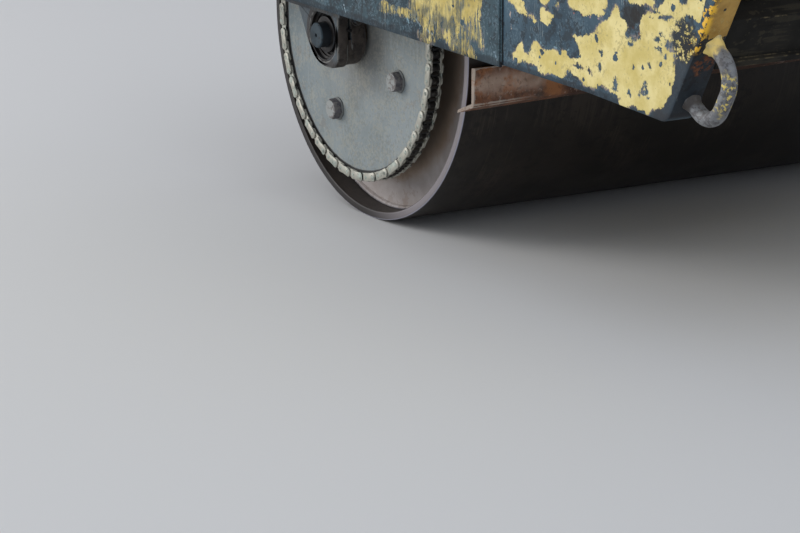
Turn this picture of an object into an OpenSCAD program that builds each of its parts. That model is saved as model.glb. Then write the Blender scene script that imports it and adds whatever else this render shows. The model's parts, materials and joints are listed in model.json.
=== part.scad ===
// End section of a road roller: a smooth steel drum with its chain drive,
// carried between the two side members of the chassis end.
// Millimetres. The origin is the centre of the mounting flange's face, +X runs
// towards the tail, +Z is up, and the chain drive is on the -Y side.

/* [Drum] */
// Outside diameter of the drum
drum_d = 762; // [740:1:790]
// Length of the drum along its axle
drum_length = 1100; // [900:10:1300]
// Thickness of the drum shell
shell_t = 16; // [12:1:20]
// Depth of the end plates behind the drum's rim
plate_inset = 50; // [44:1:60]
// Thickness of the end plates
end_plate_t = 20; // [12:1:30]

/* [Axle] */
// Diameter of the stub shafts
shaft_d = 50; // [44:1:54]
// How far a stub shaft reaches beyond the rim
shaft_reach = 119; // [112:1:124]
// Diameter of the round mouth in a bearing block
mouth_d = 106; // [100:1:108]
// Depth of that mouth
mouth_depth = 20; // [14:1:26]

/* [Chain drive] */
// Distance between two chain pins
chain_pitch = 25.4; // [24.5:0.1:25.6]
// Diameter of the chain rollers
roller_d = 15.88; // [15:0.01:16]
// Height of the chain's link plates
link_h = 21; // [18:0.5:23]
// Gap between the chain's rim-side plates and the plane of the drum's rim
chain_gap = 4.5; // [2:0.5:6]
// Thickness of the sprocket disc
sprocket_t = 15.8; // [13:0.1:16.2]
// Radius of the circle of four sprocket bolts
sprocket_bolt_r = 184; // [175:1:205]
// Free height between the chain's top and the bridge over it
bridge_gap = 19; // [12:1:60]

/* [Side members] */
// Gap between the drum's rim and a side member
side_gap = 75; // [74:1:90]
// Width of a side member
side_w = 54; // [50:1:60]
// Thickness of its web and flanges
side_t = 12; // [8:1:14]
// Thickness of the doubler plate over the drum
doubler_t = 6; // [4:1:8]
// Length from the axle to the lower corner of the tail
tail_x = 1242; // [1150:1:1400]
// How far the lower edge drops towards that corner
tail_drop = 9; // [0:1:20]
// Length that the leaning end adds above that corner
tail_run = 150; // [120:2:160]
// How far the tail's end leans out, in degrees
tail_lean = 30.5; // [22:0.5:32]

/* [Lashing rings] */
// Diameter of the ring's bar
ring_bar = 28; // [24:1:30]
// How far the bar's centre line stands out from the end face
ring_out = 74; // [60:1:80]
// Distance between the two legs
ring_legs = 126; // [110:1:135]

/* [Mounting flange] */
// Width of the flange
flange_w = 320; // [300:5:360]
// Height of the flange
flange_h = 260; // [240:5:300]
// Distance between its bolt holes across the machine
bolt_dy = 240; // [220:5:250]
// Distance between its bolt holes in height
bolt_dz = 180; // [160:5:190]
// Diameter of the bolt holes
bolt_hole_d = 26; // [22:1:28]

/* [Hidden] */
$fn = 64;

// Clearances
running = 0.05;
seat = 0.1;
tooth_gap = 0.5;
scraper_gap = 5.5;

// Drum, measured from the axle and from the machine's centre plane
drum_r = drum_d / 2;
rim_y = drum_length / 2;
plate_y = rim_y - plate_inset;

// Drive motor
motor_d = 130;
motor_flange_t = 24;
motor_body_d = 104;
motor_body_l = 150;
motor_cap_d = 84;
motor_length = 200;
port_w = 56;
port_h = 10;
motor_gap = 20;
motor_plate_t = 12;
motor_plate_half = 95;
motor_plate_y = rim_y - 16;

// Chain drive: pinion straight above the axle, both chain runs alike and just long
// enough to hold the motor clear of the drum
sprocket_teeth = 72;
pinion_teeth = 12;
wrap_pitches = 48;
pinion_pitches = 4;
leave_deg = 180 - wrap_pitches * 180 / sprocket_teeth;
sprocket_r = chain_pitch / 2 / sin(180 / sprocket_teeth);
pinion_r = chain_pitch / 2 / sin(180 / pinion_teeth);
run_x = (sprocket_r - pinion_r) * sin(leave_deg);
leave_z = (sprocket_r - pinion_r) * cos(leave_deg);
run_least = drum_r + motor_d / 2 + motor_gap - leave_z;
run_pitches = ceil(sqrt(run_least * run_least + run_x * run_x) / chain_pitch);
pinion_z = leave_z + sqrt(pow(run_pitches * chain_pitch, 2) - run_x * run_x);
inner_plate_t = 4;
outer_plate_t = 3.3;
chain_inner_w = sprocket_t + 1.2;
chain_w = chain_inner_w + 2 * inner_plate_t + 2 * outer_plate_t + 4 * seat;
chain_y = rim_y + chain_gap + chain_w / 2;
disc_y = chain_y - sprocket_t / 2;
disc_bore_d = 90;
tip_rise = 7.5;
pinion_shaft_d = 36;

// Hub and its bolts
hub_flange_r = 130;
hub_flange_t = 20;
hub_barrel_r = 60;
collar_d = 73;
collar_t = 10;
spacer_d = 44;
bolt_d = 20;
bolt_head = 36;
bolt_head_h = 19;
bolt_first_deg = -23;

// Side members, heights measured from the axle
side_y = rim_y + side_gap;
web_y = side_y + side_w - side_t;
outer_y = side_y + side_w;
side_z = 64;
bridge_h = 40;
bridge_z = pinion_z + pinion_r + link_h / 2 + bridge_gap;
side_top = bridge_z + bridge_h + side_t;
rear_x = -500;
seam_x = 710;
corner_r = 35;
dip_length = 250;
dip_deg = atan(tail_drop / dip_length);
tail_z = side_z - tail_drop;
tail_top_x = tail_x + tail_run;
tail_top_z = tail_z + tail_run / tan(tail_lean);

// Bearing blocks: a front plate, a round housing behind it and a foot under the pad
block_gap = 38;
block_y = rim_y + block_gap;
block_depth = 65;
front_t = 24;
housing_r = 58;
foot_half = 52;
groove_w = 7;
groove_low = -4;
pad_t = 12;
pad_half = 110;

// Scrapers: an angle each, the one near the mount higher; the one near the tail narrows
// towards the plain side
scraper_stand = 19;
scraper_x = drum_r + scraper_stand;
scraper_t = 8;
scraper_low = -98;
scraper_high = -8;
scraper_narrows = 27;
lip_drop = 14;
end_slant = 9;
top_over = -2;
lip_over = 20;
rear_rise = 108;
arm_y = 300;
arm_t = 12;
arm_foot = 92;

// Cross-beams
beam_z = side_z + side_t;
rear_beam_h = 324;
rear_beam_depth = 60;
mid_beam_gap = 40;
mid_beam_x = scraper_x + mid_beam_gap;
mid_beam_w = 40;
mid_beam_h = 80;
bridge_half = 120;
tail_beam_s = 115.5;
tail_beam_h = 100;
tail_beam_depth = 54;
tail_set_back = 6;
lip_t = 13;
deck_t = 6;
deck_x = 500;
panel_t = 8;

// Spray pipe
pipe_d = 27;
pipe_x = 300;
pipe_z = 440;
nozzle_count = 9;

// Mounting flange: its face centre is the origin
flange_t = 20;
axle_x = flange_t - rear_x;
axle_z = -(beam_z + rear_beam_h / 2);

steel_dark = [0.27, 0.22, 0.19];
dusty_grey = [0.55, 0.52, 0.47];
tan_paint = [0.66, 0.57, 0.48];
blue_grey = [0.23, 0.30, 0.34];
yellow = [0.85, 0.76, 0.38];
rust = [0.45, 0.28, 0.18];
oily = [0.20, 0.20, 0.21];
cast_brown = [0.36, 0.30, 0.26];

// Puts a piece modelled about the axle into the part's frame
module at_axle() {
    translate([axle_x, 0, axle_z]) children();
}

// Mirrors a drive-side piece to the plain side
module plain_side() {
    mirror([0, 1, 0]) children();
}

// Plate with its outline in X and Z, lying between y and y + t
module plate_xz(y, t) {
    translate([0, y + t, 0]) rotate([90, 0, 0]) linear_extrude(t) children();
}

// Round bar along Y between two places
module rod_y(y0, y1, d) {
    translate([0, max(y0, y1), 0]) rotate([90, 0, 0]) cylinder(h = abs(y1 - y0), d = d);
}

// Box from one corner to the opposite one
module box(low, high) {
    translate(low) cube(high - low);
}

function polar(r, deg) = [r * cos(deg), r * sin(deg)];

// Direction up the sloping end face, and the one that points out of it
function up_tail(s) = [s * sin(tail_lean), s * cos(tail_lean)];
function out_tail(n) = [n * cos(tail_lean), -n * sin(tail_lean)];
function on_tail(n, s) = [tail_x, tail_z] + up_tail(s) + out_tail(n);

// Centre of the rounded lower corner of the tail, which touches the dropping lower edge
// and the leaning end
corner_centre = [tail_x, tail_z]
    + corner_r * ([sin(dip_deg), cos(dip_deg)] + [-cos(tail_lean), sin(tail_lean)])
    / (1 + sin(tail_lean - dip_deg));

// Outline of a side member, drawn t inside its outer edge
function side_outline(t, corner_steps = 6) = concat(
    [[rear_x + t, side_z + t], [tail_x - dip_length + t * tan(dip_deg / 2), side_z + t]],
    [for (i = [0 : corner_steps])
        corner_centre + polar(corner_r - t,
            -90 - dip_deg + i * (90 + dip_deg - tail_lean) / corner_steps)],
    [[tail_top_x - t, tail_top_z - t * (1 - cos(tail_lean)) / sin(tail_lean)]],
    [[tail_top_x - t, side_top - t]],
    [[rear_x + t, side_top - t]]
);

// Outline of a toothed wheel: a round seat for each roller, then the two corners of a tip
function wheel_outline(teeth, pitch_r, seat_r, tip_r, tip_w) = [
    for (i = [0 : teeth - 1], k = [0 : 6])
    let (a = i * 360 / teeth, half = 180 / teeth, tip = asin(tip_w / 2 / tip_r))
    k < 5
        ? polar(pitch_r, a) + polar(seat_r, a + 180 + 65 * (1 - k / 2))
        : polar(tip_r, a + half + (k == 5 ? -tip : tip))
];

// Pins of the chain in order: round the sprocket, up, over the pinion and down
chain_run_low = polar(sprocket_r, 90 + leave_deg);
chain_run_high = [0, pinion_z] + polar(pinion_r, 90 + leave_deg);
function flip(p) = [-p[0], p[1]];
function chain_pins() = concat(
    [for (i = [0 : wrap_pitches]) polar(sprocket_r, 90 - leave_deg - i * 360 / sprocket_teeth)],
    [for (i = [1 : run_pitches - 1])
        chain_run_low + (chain_run_high - chain_run_low) * i / run_pitches],
    [for (i = [0 : pinion_pitches])
        [0, pinion_z] + polar(pinion_r, 90 + leave_deg - i * 360 / pinion_teeth)],
    [for (i = [1 : run_pitches - 1])
        flip(chain_run_high) + (flip(chain_run_low) - flip(chain_run_high)) * i / run_pitches]
);

// Drum
module drum_shell() {
    color(steel_dark) at_axle() difference() {
        rod_y(-rim_y, rim_y, drum_d, $fn = 96);
        rod_y(-rim_y - 1, rim_y + 1, drum_d - 2 * shell_t, $fn = 96);
    }
}

module end_plate() {
    color(tan_paint) at_axle() difference() {
        rod_y(-plate_y, end_plate_t - plate_y, drum_d - 2 * shell_t);
        rod_y(-plate_y - 1, end_plate_t - plate_y + 1, shaft_d + 2 * running);
    }
}

module hub() {
    color(tan_paint) at_axle() difference() {
        union() {
            rod_y(-plate_y - hub_flange_t, -plate_y, 2 * hub_flange_r);
            rod_y(-disc_y, -plate_y, 2 * hub_barrel_r);
            rod_y(-disc_y - sprocket_t + 2, -disc_y, disc_bore_d - 2 * running);
        }
        rod_y(-disc_y - sprocket_t, -plate_y + 1, shaft_d + 2 * running);
    }
}

module shaft() {
    color(blue_grey) at_axle() rod_y(-rim_y - shaft_reach, end_plate_t - plate_y, shaft_d);
}

module collar() {
    color(oily) at_axle() difference() {
        rod_y(-rim_y - shaft_reach + 21, -rim_y - shaft_reach + 21 + collar_t, collar_d);
        rod_y(-rim_y - shaft_reach, -rim_y, shaft_d + 2 * running);
    }
}

// Places one thing at each of the four sprocket bolts
module at_sprocket_bolts() {
    for (i = [0 : 3]) {
        rotate([0, -bolt_first_deg - 90 * i, 0]) translate([sprocket_bolt_r, 0, 0]) children();
    }
}

module sprocket() {
    color(dusty_grey) at_axle() difference() {
        plate_xz(-disc_y - sprocket_t, sprocket_t) polygon(wheel_outline(
            sprocket_teeth, sprocket_r, roller_d / 2 + tooth_gap, sprocket_r + tip_rise, 4));
        rod_y(-disc_y - sprocket_t - 1, -disc_y + 1, disc_bore_d);
        at_sprocket_bolts() rod_y(-disc_y - sprocket_t - 1, -disc_y + 1, bolt_d + 0.4);
    }
}

module sprocket_spacers() {
    color(dusty_grey) at_axle() at_sprocket_bolts() difference() {
        rod_y(-disc_y, -plate_y, spacer_d);
        rod_y(-disc_y - 1, -plate_y + 1, bolt_d + 0.4);
    }
}

module sprocket_bolts() {
    color(dusty_grey) at_axle() at_sprocket_bolts() {
        rod_y(-disc_y - sprocket_t - bolt_head_h, -disc_y - sprocket_t,
            bolt_head / cos(30), $fn = 6);
        rod_y(-disc_y - sprocket_t - 1, -plate_y - 1, bolt_d);
    }
}

// Chassis end
module side_member() {
    color(blue_grey) at_axle() {
        plate_xz(-outer_y, side_t) polygon(side_outline(0));
        difference() {
            plate_xz(-outer_y + side_t / 2, side_w - side_t / 2) polygon(side_outline(0));
            plate_xz(-outer_y + side_t / 2 - 1, side_w) polygon(side_outline(side_t));
        }
    }
}

module doubler() {
    color(blue_grey) at_axle()
        box([rear_x, -outer_y - doubler_t, side_z - 3], [seam_x, -outer_y, side_top - 8]);
}

module bearing_pad() {
    color(cast_brown) at_axle()
        box([-pad_half, -outer_y + 1, side_z - pad_t], [pad_half, -block_y, side_z]);
}

// Outline of a bearing block's front plate, from the axle: its rear edge is cut back
front_outline = [
    [-99, side_z - pad_t], [-99, 40], [-60, -25], [-22, -58], [0, -63], [30, -63],
    [49, -58], [59, -44], [59, side_z - pad_t]
];

module bearing_block() {
    front = -block_y - block_depth;
    color(cast_brown) at_axle() difference() {
        union() {
            plate_xz(front, front_t) polygon(front_outline);
            rod_y(front + front_t, -block_y, 2 * housing_r);
            box([-foot_half, front + front_t, 0], [foot_half, -block_y, side_z - pad_t]);
        }
        for (x = [-housing_r - 1, foot_half - groove_w]) {
            box([x, front + front_t, groove_low],
                [x + housing_r - foot_half + groove_w + 1, front + front_t + groove_w,
                    side_z - pad_t + 1]);
        }
        box([-pad_half, front - 1, side_z - pad_t], [pad_half, 1 - block_y, side_z]);
        rod_y(front - 1, front + mouth_depth, mouth_d);
        rod_y(front, -block_y + 1, shaft_d + 2 * running);
    }
}

module flange_holes(x0, x1) {
    for (y = [-1, 1], z = [-1, 1]) {
        translate([x0, y * bolt_dy / 2, z * bolt_dz / 2]) rotate([0, 90, 0])
            cylinder(h = x1 - x0, d = bolt_hole_d);
    }
}

module mount_flange() {
    color(blue_grey) difference() {
        box([0, -flange_w / 2, -flange_h / 2], [flange_t, flange_w / 2, flange_h / 2]);
        flange_holes(-1, flange_t + 1);
    }
}

module rear_beam() {
    half = rear_beam_h / 2;
    color(blue_grey) difference() {
        box([flange_t, -side_y, -half], [flange_t + rear_beam_depth, side_y, half]);
        box([flange_t + side_t, -side_y - 1, side_t - half],
            [flange_t + rear_beam_depth + 1, side_y + 1, half - side_t]);
        flange_holes(flange_t - 1, flange_t + side_t + 1);
    }
}

module mid_beam() {
    color(blue_grey) at_axle() box([mid_beam_x, -web_y, beam_z],
        [mid_beam_x + mid_beam_w, web_y, beam_z + mid_beam_h]);
}

module bridge() {
    color(blue_grey) at_axle() difference() {
        box([-bridge_half, -web_y, bridge_z], [bridge_half, web_y, bridge_z + bridge_h]);
        box([side_t - bridge_half, -web_y - 1, bridge_z + side_t],
            [bridge_half - side_t, web_y + 1, bridge_z + bridge_h + 1]);
    }
}

// Channel across the tail, its face just behind the end faces, with a lip below
module tail_beam() {
    back = -tail_set_back - tail_beam_depth;
    inner = -tail_set_back - side_t;
    section = [
        [2, 0], [2, lip_t], [-tail_set_back, lip_t], [-tail_set_back, tail_beam_h],
        [back, tail_beam_h], [back, tail_beam_h - side_t], [inner, tail_beam_h - side_t],
        [inner, lip_t], [back, lip_t], [back, 0]
    ];
    color(steel_dark) at_axle() plate_xz(-side_y, 2 * side_y)
        polygon([for (p = section) on_tail(p[0], tail_beam_s + p[1])]);
}

// Panel set back above the tail channel, up to the deck
module tail_panel() {
    back = -tail_set_back - tail_beam_depth;
    low = on_tail(back + panel_t, tail_beam_s + tail_beam_h);
    low_back = on_tail(back, tail_beam_s + tail_beam_h);
    bend = low + up_tail((tail_top_z - low[1]) / cos(tail_lean));
    color(steel_dark) at_axle() plate_xz(-side_y, 2 * side_y) polygon([
        low, bend, [bend[0], side_top], [bend[0] - panel_t, side_top],
        [bend[0] - panel_t, bend[1]], low_back
    ]);
}

module tail_deck() {
    color(blue_grey) at_axle()
        box([deck_x, -outer_y, side_top], [tail_top_x, outer_y, side_top + deck_t]);
}

// Place at a height z that is the scraper's gap away from the drum's surface
function off_drum(z) = [sqrt(pow(drum_r + scraper_gap, 2) - z * z), z];

// Solid between two like convex sections, each a list of points seen clockwise from +Y
module between(near, far) {
    n = len(near);
    polyhedron(
        points = concat(near, far),
        faces = concat(
            [[for (i = [0 : n - 1]) i], [for (i = [0 : n - 1]) 2 * n - 1 - i]],
            [for (i = [0 : n - 1]) [(i + 1) % n, i, n + i, n + (i + 1) % n]]
        )
    );
}

// End section of the scraper's upright leg: its end slants out towards the lip
function leg_end(side, low, high) = [
    for (p = [[scraper_x, low + lip_drop + 7], [scraper_x, high],
            [scraper_x + scraper_t, high], [scraper_x + scraper_t, low + lip_drop]])
    [p[0], side * (rim_y + top_over + end_slant * (high - p[1]) / (high - low)), p[1]]
];

// End section of its lip, which drops from the leg to the drum and reaches out furthest there
function lip_end(side, low) = [
    for (p = [off_drum(low), off_drum(low + scraper_t),
            [scraper_x + scraper_t, low + lip_drop + 8], [scraper_x + scraper_t, low + lip_drop]])
    [p[0], side * (rim_y + lip_over
        - (lip_over - top_over - end_slant) * (p[0] - drum_r) / (scraper_x - drum_r)), p[1]]
];

// Angle across the drum; its lip drops to a small gap from the drum's surface
module scraper(rise = 0, narrows = 0) {
    low = scraper_low + rise;
    high = scraper_high + rise;
    color(rust) at_axle() {
        between(leg_end(-1, low, high), leg_end(1, low + narrows, high));
        between(lip_end(-1, low), lip_end(1, low + narrows));
    }
}

// Two brackets from the angle's back to the underside of the beam above it
module scraper_arms(rise = 0) {
    face = scraper_x + scraper_t;
    foot = scraper_low + rise + scraper_narrows + lip_drop;
    back = mid_beam_x + mid_beam_w - 4;
    color(rust) at_axle() for (side = [-1, 1]) {
        plate_xz(side * arm_y - arm_t / 2, arm_t) polygon([
            [face, foot], [face, min(scraper_high + rise - 4, beam_z)], [mid_beam_x + 4, beam_z],
            [back, beam_z], [back, beam_z - arm_foot / 2], [face + 14, foot]
        ]);
    }
}

// Turns a front piece to the other side of the axle
module behind_axle() {
    translate([2 * axle_x, 0, 0]) mirror([1, 0, 0]) children();
}

// Ring of round bar with two straight legs on the sloping end face
module lashing_ring() {
    bend_r = 48;
    first_leg = 43;
    leg = ring_out - bend_r;
    side = ring_legs - 2 * bend_r;
    color(yellow) at_axle()
        translate([on_tail(0, first_leg)[0], -side_y - side_w / 3, on_tail(0, first_leg)[1]])
        rotate([0, tail_lean, 0]) {
            for (s = [0, ring_legs]) {
                translate([seat, 0, s]) rotate([0, 90, 0])
                    cylinder(h = leg - seat, d = ring_bar, $fn = 24);
            }
            translate([ring_out, 0, bend_r]) cylinder(h = side, d = ring_bar, $fn = 24);
            translate([leg, 0, bend_r]) rotate([90, 0, 0]) rotate([0, 0, -90])
                rotate_extrude(angle = 90, $fn = 48) translate([bend_r, 0])
                circle(d = ring_bar, $fn = 24);
            translate([leg, 0, ring_legs - bend_r]) rotate([90, 0, 0])
                rotate_extrude(angle = 90, $fn = 48) translate([bend_r, 0])
                circle(d = ring_bar, $fn = 24);
        }
}

// Drive motor and its pinion above the drum
module motor_plate() {
    low = drum_r + 12;
    color(blue_grey) at_axle() difference() {
        box([-motor_plate_half, -motor_plate_y - motor_plate_t, low],
            [motor_plate_half, -motor_plate_y, bridge_z]);
        translate([0, 0, pinion_z])
            rod_y(-motor_plate_y - motor_plate_t - 1, 1 - motor_plate_y, pinion_shaft_d + 4);
    }
}

module motor() {
    color(oily) at_axle() translate([0, 0, pinion_z]) {
        rod_y(-motor_plate_y, motor_flange_t - motor_plate_y, motor_d);
        rod_y(motor_flange_t - motor_plate_y - 1, motor_body_l - motor_plate_y, motor_body_d);
        rod_y(motor_body_l - motor_plate_y - 1, motor_length - motor_plate_y, motor_cap_d);
        translate([0, motor_body_l / 2 + 20 - motor_plate_y, 0])
            box([-port_w / 2, -port_w / 2, 0], [port_w / 2, port_w / 2, motor_body_d / 2 + port_h]);
    }
}

module pinion_shaft() {
    color(oily) at_axle() translate([0, 0, pinion_z])
        rod_y(-chain_y - chain_w / 2, -motor_plate_y, pinion_shaft_d);
}

module pinion() {
    color(dusty_grey) at_axle() translate([0, 0, pinion_z]) difference() {
        plate_xz(-disc_y - sprocket_t, sprocket_t)
            rotate(90) polygon(wheel_outline(
                pinion_teeth, pinion_r, roller_d / 2 + tooth_gap, pinion_r + tip_rise, 4));
        rod_y(-disc_y - sprocket_t - 1, -disc_y + 1, pinion_shaft_d + 2 * running);
    }
}

// Chain: rollers at every pin, inner and outer link plates by turns
module chain() {
    pins = chain_pins();
    count = len(pins);
    inner_y = chain_inner_w / 2;
    outer_y0 = inner_y + inner_plate_t + seat;
    plate = [[-0.5, 0], [-0.25, 0.5], [0.25, 0.5], [0.5, 0], [0.25, -0.5], [-0.25, -0.5]];
    length = chain_pitch + link_h * 0.96;
    color(dusty_grey) at_axle() for (i = [0 : count - 1]) {
        a = pins[i];
        b = pins[(i + 1) % count];
        turn = atan2(b[1] - a[1], b[0] - a[0]);
        y0 = i % 2 == 0 ? inner_y : outer_y0;
        t = i % 2 == 0 ? inner_plate_t : outer_plate_t;
        translate([a[0], -chain_y, a[1]]) rotate([0, -turn, 0])
            rod_y(seat - inner_y, inner_y - seat, roller_d, $fn = 8);
        for (y = [-y0 - t, y0]) {
            translate([(a[0] + b[0]) / 2, -chain_y, (a[1] + b[1]) / 2]) rotate([0, -turn, 0])
                plate_xz(y, t) polygon([for (p = plate) [p[0] * length, p[1] * link_h]]);
        }
    }
}

// Water pipe across the drum with a row of nozzles
module spray_pipe() {
    color(oily) at_axle() translate([pipe_x, 0, pipe_z]) {
        rod_y(-web_y, web_y, pipe_d);
        for (i = [0 : nozzle_count - 1]) {
            translate([0, (i - (nozzle_count - 1) / 2) * 2 * rim_y / nozzle_count, 0])
                rotate([0, -145, 0]) cylinder(h = pipe_d / 2 + 12, d = 12, $fn = 6);
        }
    }
}

drum_shell();
end_plate();  // end_plate_drive
plain_side() end_plate();  // end_plate_plain
hub();  // hub_drive
plain_side() hub();  // hub_plain
shaft();  // shaft_drive
plain_side() shaft();  // shaft_plain
collar();  // collar_drive
plain_side() collar();  // collar_plain
sprocket();
sprocket_spacers();
sprocket_bolts();
side_member();  // side_member_drive
plain_side() side_member();  // side_member_plain
doubler();  // doubler_drive
plain_side() doubler();  // doubler_plain
bearing_pad();  // bearing_pad_drive
plain_side() bearing_pad();  // bearing_pad_plain
bearing_block();  // bearing_block_drive
plain_side() bearing_block();  // bearing_block_plain
rear_beam();
mount_flange();
mid_beam();
bridge();
tail_beam();
tail_panel();
tail_deck();
scraper(0, scraper_narrows);  // scraper_front
behind_axle() scraper(rear_rise);  // scraper_rear
scraper_arms();  // scraper_arms_front
behind_axle() scraper_arms(rear_rise);  // scraper_arms_rear
lashing_ring();  // lashing_ring_drive
plain_side() lashing_ring();  // lashing_ring_plain
motor_plate();
motor();
pinion_shaft();
pinion();
chain();
spray_pipe();
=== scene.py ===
"""Dresses the end section of a road roller: steel drum, chain drive and chassis end.

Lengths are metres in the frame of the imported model. Most shapes are worked out about the drum's
axle: x towards the tail, y along the axle with the chain on the -y side, and z up.
"""

import json
import logging
from collections.abc import Callable, Sequence
from dataclasses import dataclass, field
from enum import Enum
from math import asin, atan2, cos, degrees, pi, radians, sin, sqrt, tan

import bmesh
import bpy
import numpy as np
from mathutils import Matrix, Vector


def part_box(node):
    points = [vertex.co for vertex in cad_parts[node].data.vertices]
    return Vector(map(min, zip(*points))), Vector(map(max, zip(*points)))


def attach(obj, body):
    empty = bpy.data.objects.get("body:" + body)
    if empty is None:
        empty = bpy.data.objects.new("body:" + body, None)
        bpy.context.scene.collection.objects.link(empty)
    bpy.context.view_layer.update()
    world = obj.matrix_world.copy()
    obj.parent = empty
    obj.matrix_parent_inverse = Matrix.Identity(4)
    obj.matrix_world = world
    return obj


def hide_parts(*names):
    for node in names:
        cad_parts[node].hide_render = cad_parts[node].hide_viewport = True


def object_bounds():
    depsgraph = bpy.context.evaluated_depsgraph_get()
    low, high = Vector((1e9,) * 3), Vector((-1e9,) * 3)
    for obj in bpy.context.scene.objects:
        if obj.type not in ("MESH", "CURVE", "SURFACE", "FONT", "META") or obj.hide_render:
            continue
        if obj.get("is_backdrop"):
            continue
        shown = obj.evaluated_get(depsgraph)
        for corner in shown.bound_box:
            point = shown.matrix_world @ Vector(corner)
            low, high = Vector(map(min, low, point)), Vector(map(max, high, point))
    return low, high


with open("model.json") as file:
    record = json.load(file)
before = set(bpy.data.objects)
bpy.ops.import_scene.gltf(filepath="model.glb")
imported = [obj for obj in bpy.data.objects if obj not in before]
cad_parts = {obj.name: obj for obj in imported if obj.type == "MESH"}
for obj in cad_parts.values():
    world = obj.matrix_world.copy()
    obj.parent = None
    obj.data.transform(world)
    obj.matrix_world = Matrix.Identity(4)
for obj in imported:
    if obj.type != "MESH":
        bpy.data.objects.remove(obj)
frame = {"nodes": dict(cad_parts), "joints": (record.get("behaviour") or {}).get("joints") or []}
cad_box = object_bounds()

log = logging.getLogger("roller")
Array = np.ndarray
Socket = bpy.types.NodeSocket
Material = bpy.types.Material
Tree = bpy.types.NodeTree
Colour = tuple

AXLE = np.array(frame["joints"][0]["pos_m"], float)
MM = 0.001
RING_Y = -0.643  # plane of the lashing ring's bar on the drive side
WASHER_T = 0.003
X, Y, Z = range(3)


class Side(Enum):
    """The two sides of the machine, as the sign of y."""

    DRIVE = -1
    PLAIN = 1


class Body(Enum):
    """The two rigid bodies that pieces ride on."""

    CHASSIS = "chassis"
    DRUM = "drum"


def cad_corners(node: str) -> tuple[Array, Array]:
    """Gives the lowest and the highest corner of a CAD node's box, from the axle."""
    low, high = (np.array(corner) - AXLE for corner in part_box(node))
    return low, high


@dataclass(frozen=True)
class Plan:
    """Sizes that more than one sub-assembly needs, read from the frame where it gives them."""

    drum_r: float = 0.381
    rim_y: float = float(cad_corners("drum_shell")[1][Y])
    side_y: float = 0.625
    outer_y: float = 0.679
    side_z: float = 0.064
    side_t: float = 0.012
    tail_x: float = 1.242
    tail_z: float = 0.055
    tail_lean: float = radians(30.5)
    dip_length: float = 0.250
    block_y: float = 0.588
    shaft_r: float = 0.025
    plate_y: float = 0.500
    disc_y: float = 0.5626
    disc_t: float = 0.0158
    chain_y: float = 0.5705
    pitch: float = 0.0254
    sprocket_r: float = 0.0127 / sin(pi / 72)
    pinion_r: float = 0.0127 / sin(pi / 12)
    roller_r: float = 0.00794
    rear_x: float = float(cad_corners("side_member_drive")[0][X])
    side_top: float = float(cad_corners("side_member_drive")[1][Z])
    tail_top_x: float = float(cad_corners("side_member_drive")[1][X])

    def on_tail(self, out: float | Array, up: float | Array) -> tuple:
        """Gives a place on the leaning end face.

        Args:
            out: distance out of the face.
            up: distance up the face from its lower corner.

        Returns:
            x and z from the axle: the corner, plus up along the lean, plus out at right angles.
        """
        lean = self.tail_lean
        x = self.tail_x + up * sin(lean) + out * cos(lean)
        return x, self.tail_z + up * cos(lean) - out * sin(lean)

    def low_edge(self, x: Array) -> Array:
        """Gives the height of a side member's lower edge, which drops towards the tail."""
        reach = np.maximum(0, x - self.tail_x + self.dip_length)
        return self.side_z - (self.side_z - self.tail_z) * reach / self.dip_length


PLAN = Plan()


# Shapes as arrays


def inset(outline: Array, depth: float) -> Array:
    """Moves every edge of a closed outline inwards.

    Each corner moves along its mitre: the sum of its two edge normals over one plus their
    dot product, times the depth.

    Args:
        outline: corners (n, 2), anticlockwise.
        depth: how far inwards; negative moves outwards.

    Returns:
        The moved corners.
    """
    ahead = np.roll(outline, -1, 0) - outline
    ahead /= np.linalg.norm(ahead, axis=1, keepdims=True)
    normal = np.stack([ahead[:, 1], -ahead[:, 0]], 1)
    before = np.roll(normal, 1, 0)
    mitre = (normal + before) / (1 + (normal * before).sum(1, keepdims=True))
    return outline - depth * mitre


def rounded(outline: Array, radius: float, band: float = 0, steps: int = 3) -> tuple:
    """Rounds every corner of a closed outline.

    A corner becomes a quadratic curve between the two places `radius` before and behind it,
    and one more point stands `band` further out on either side, where edge wear fades out.

    Args:
        outline: corners (n, 2).
        radius: length that each corner gives up on either side.
        band: width of the worn strip beside the corner.
        steps: number of stretches along the curve.

    Returns:
        The points, and their wear from 0 to 1.
    """
    if radius <= 0:
        return outline, np.zeros(len(outline))
    back, ahead = np.roll(outline, 1, 0) - outline, np.roll(outline, -1, 0) - outline
    back_l = np.linalg.norm(back, axis=1, keepdims=True)
    ahead_l = np.linalg.norm(ahead, axis=1, keepdims=True)
    near = np.minimum(radius, 0.4 * np.minimum(back_l, ahead_l))
    a, b = outline + back / back_l * near, outline + ahead / ahead_l * near
    t = np.linspace(0, 1, steps + 1)[None, :, None]
    curve = (1 - t) ** 2 * a[:, None] + 2 * t * (1 - t) * outline[:, None] + t**2 * b[:, None]
    if band <= 0:
        return curve.reshape(-1, 2), np.ones(curve.shape[0] * curve.shape[1])
    outer_b = (outline + back / back_l * np.minimum(near + band, 0.46 * back_l))[:, None]
    outer_a = (outline + ahead / ahead_l * np.minimum(near + band, 0.46 * ahead_l))[:, None]
    points = np.concatenate([outer_b, curve, outer_a], 1)
    wear = np.concatenate([[0], np.ones(steps + 1), [0]])
    return points.reshape(-1, 2), np.tile(wear, len(outline))


def polar(radius: float | Array, angle: float | Array) -> Array:
    """Gives plane points at a radius and an angle in radians."""
    return np.stack(np.broadcast_arrays(radius * np.cos(angle), radius * np.sin(angle)), -1)


def around(count: int) -> Array:
    """Gives evenly spaced angles round a full circle, in radians."""
    return np.linspace(0, 2 * pi, count, endpoint=False)


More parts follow.
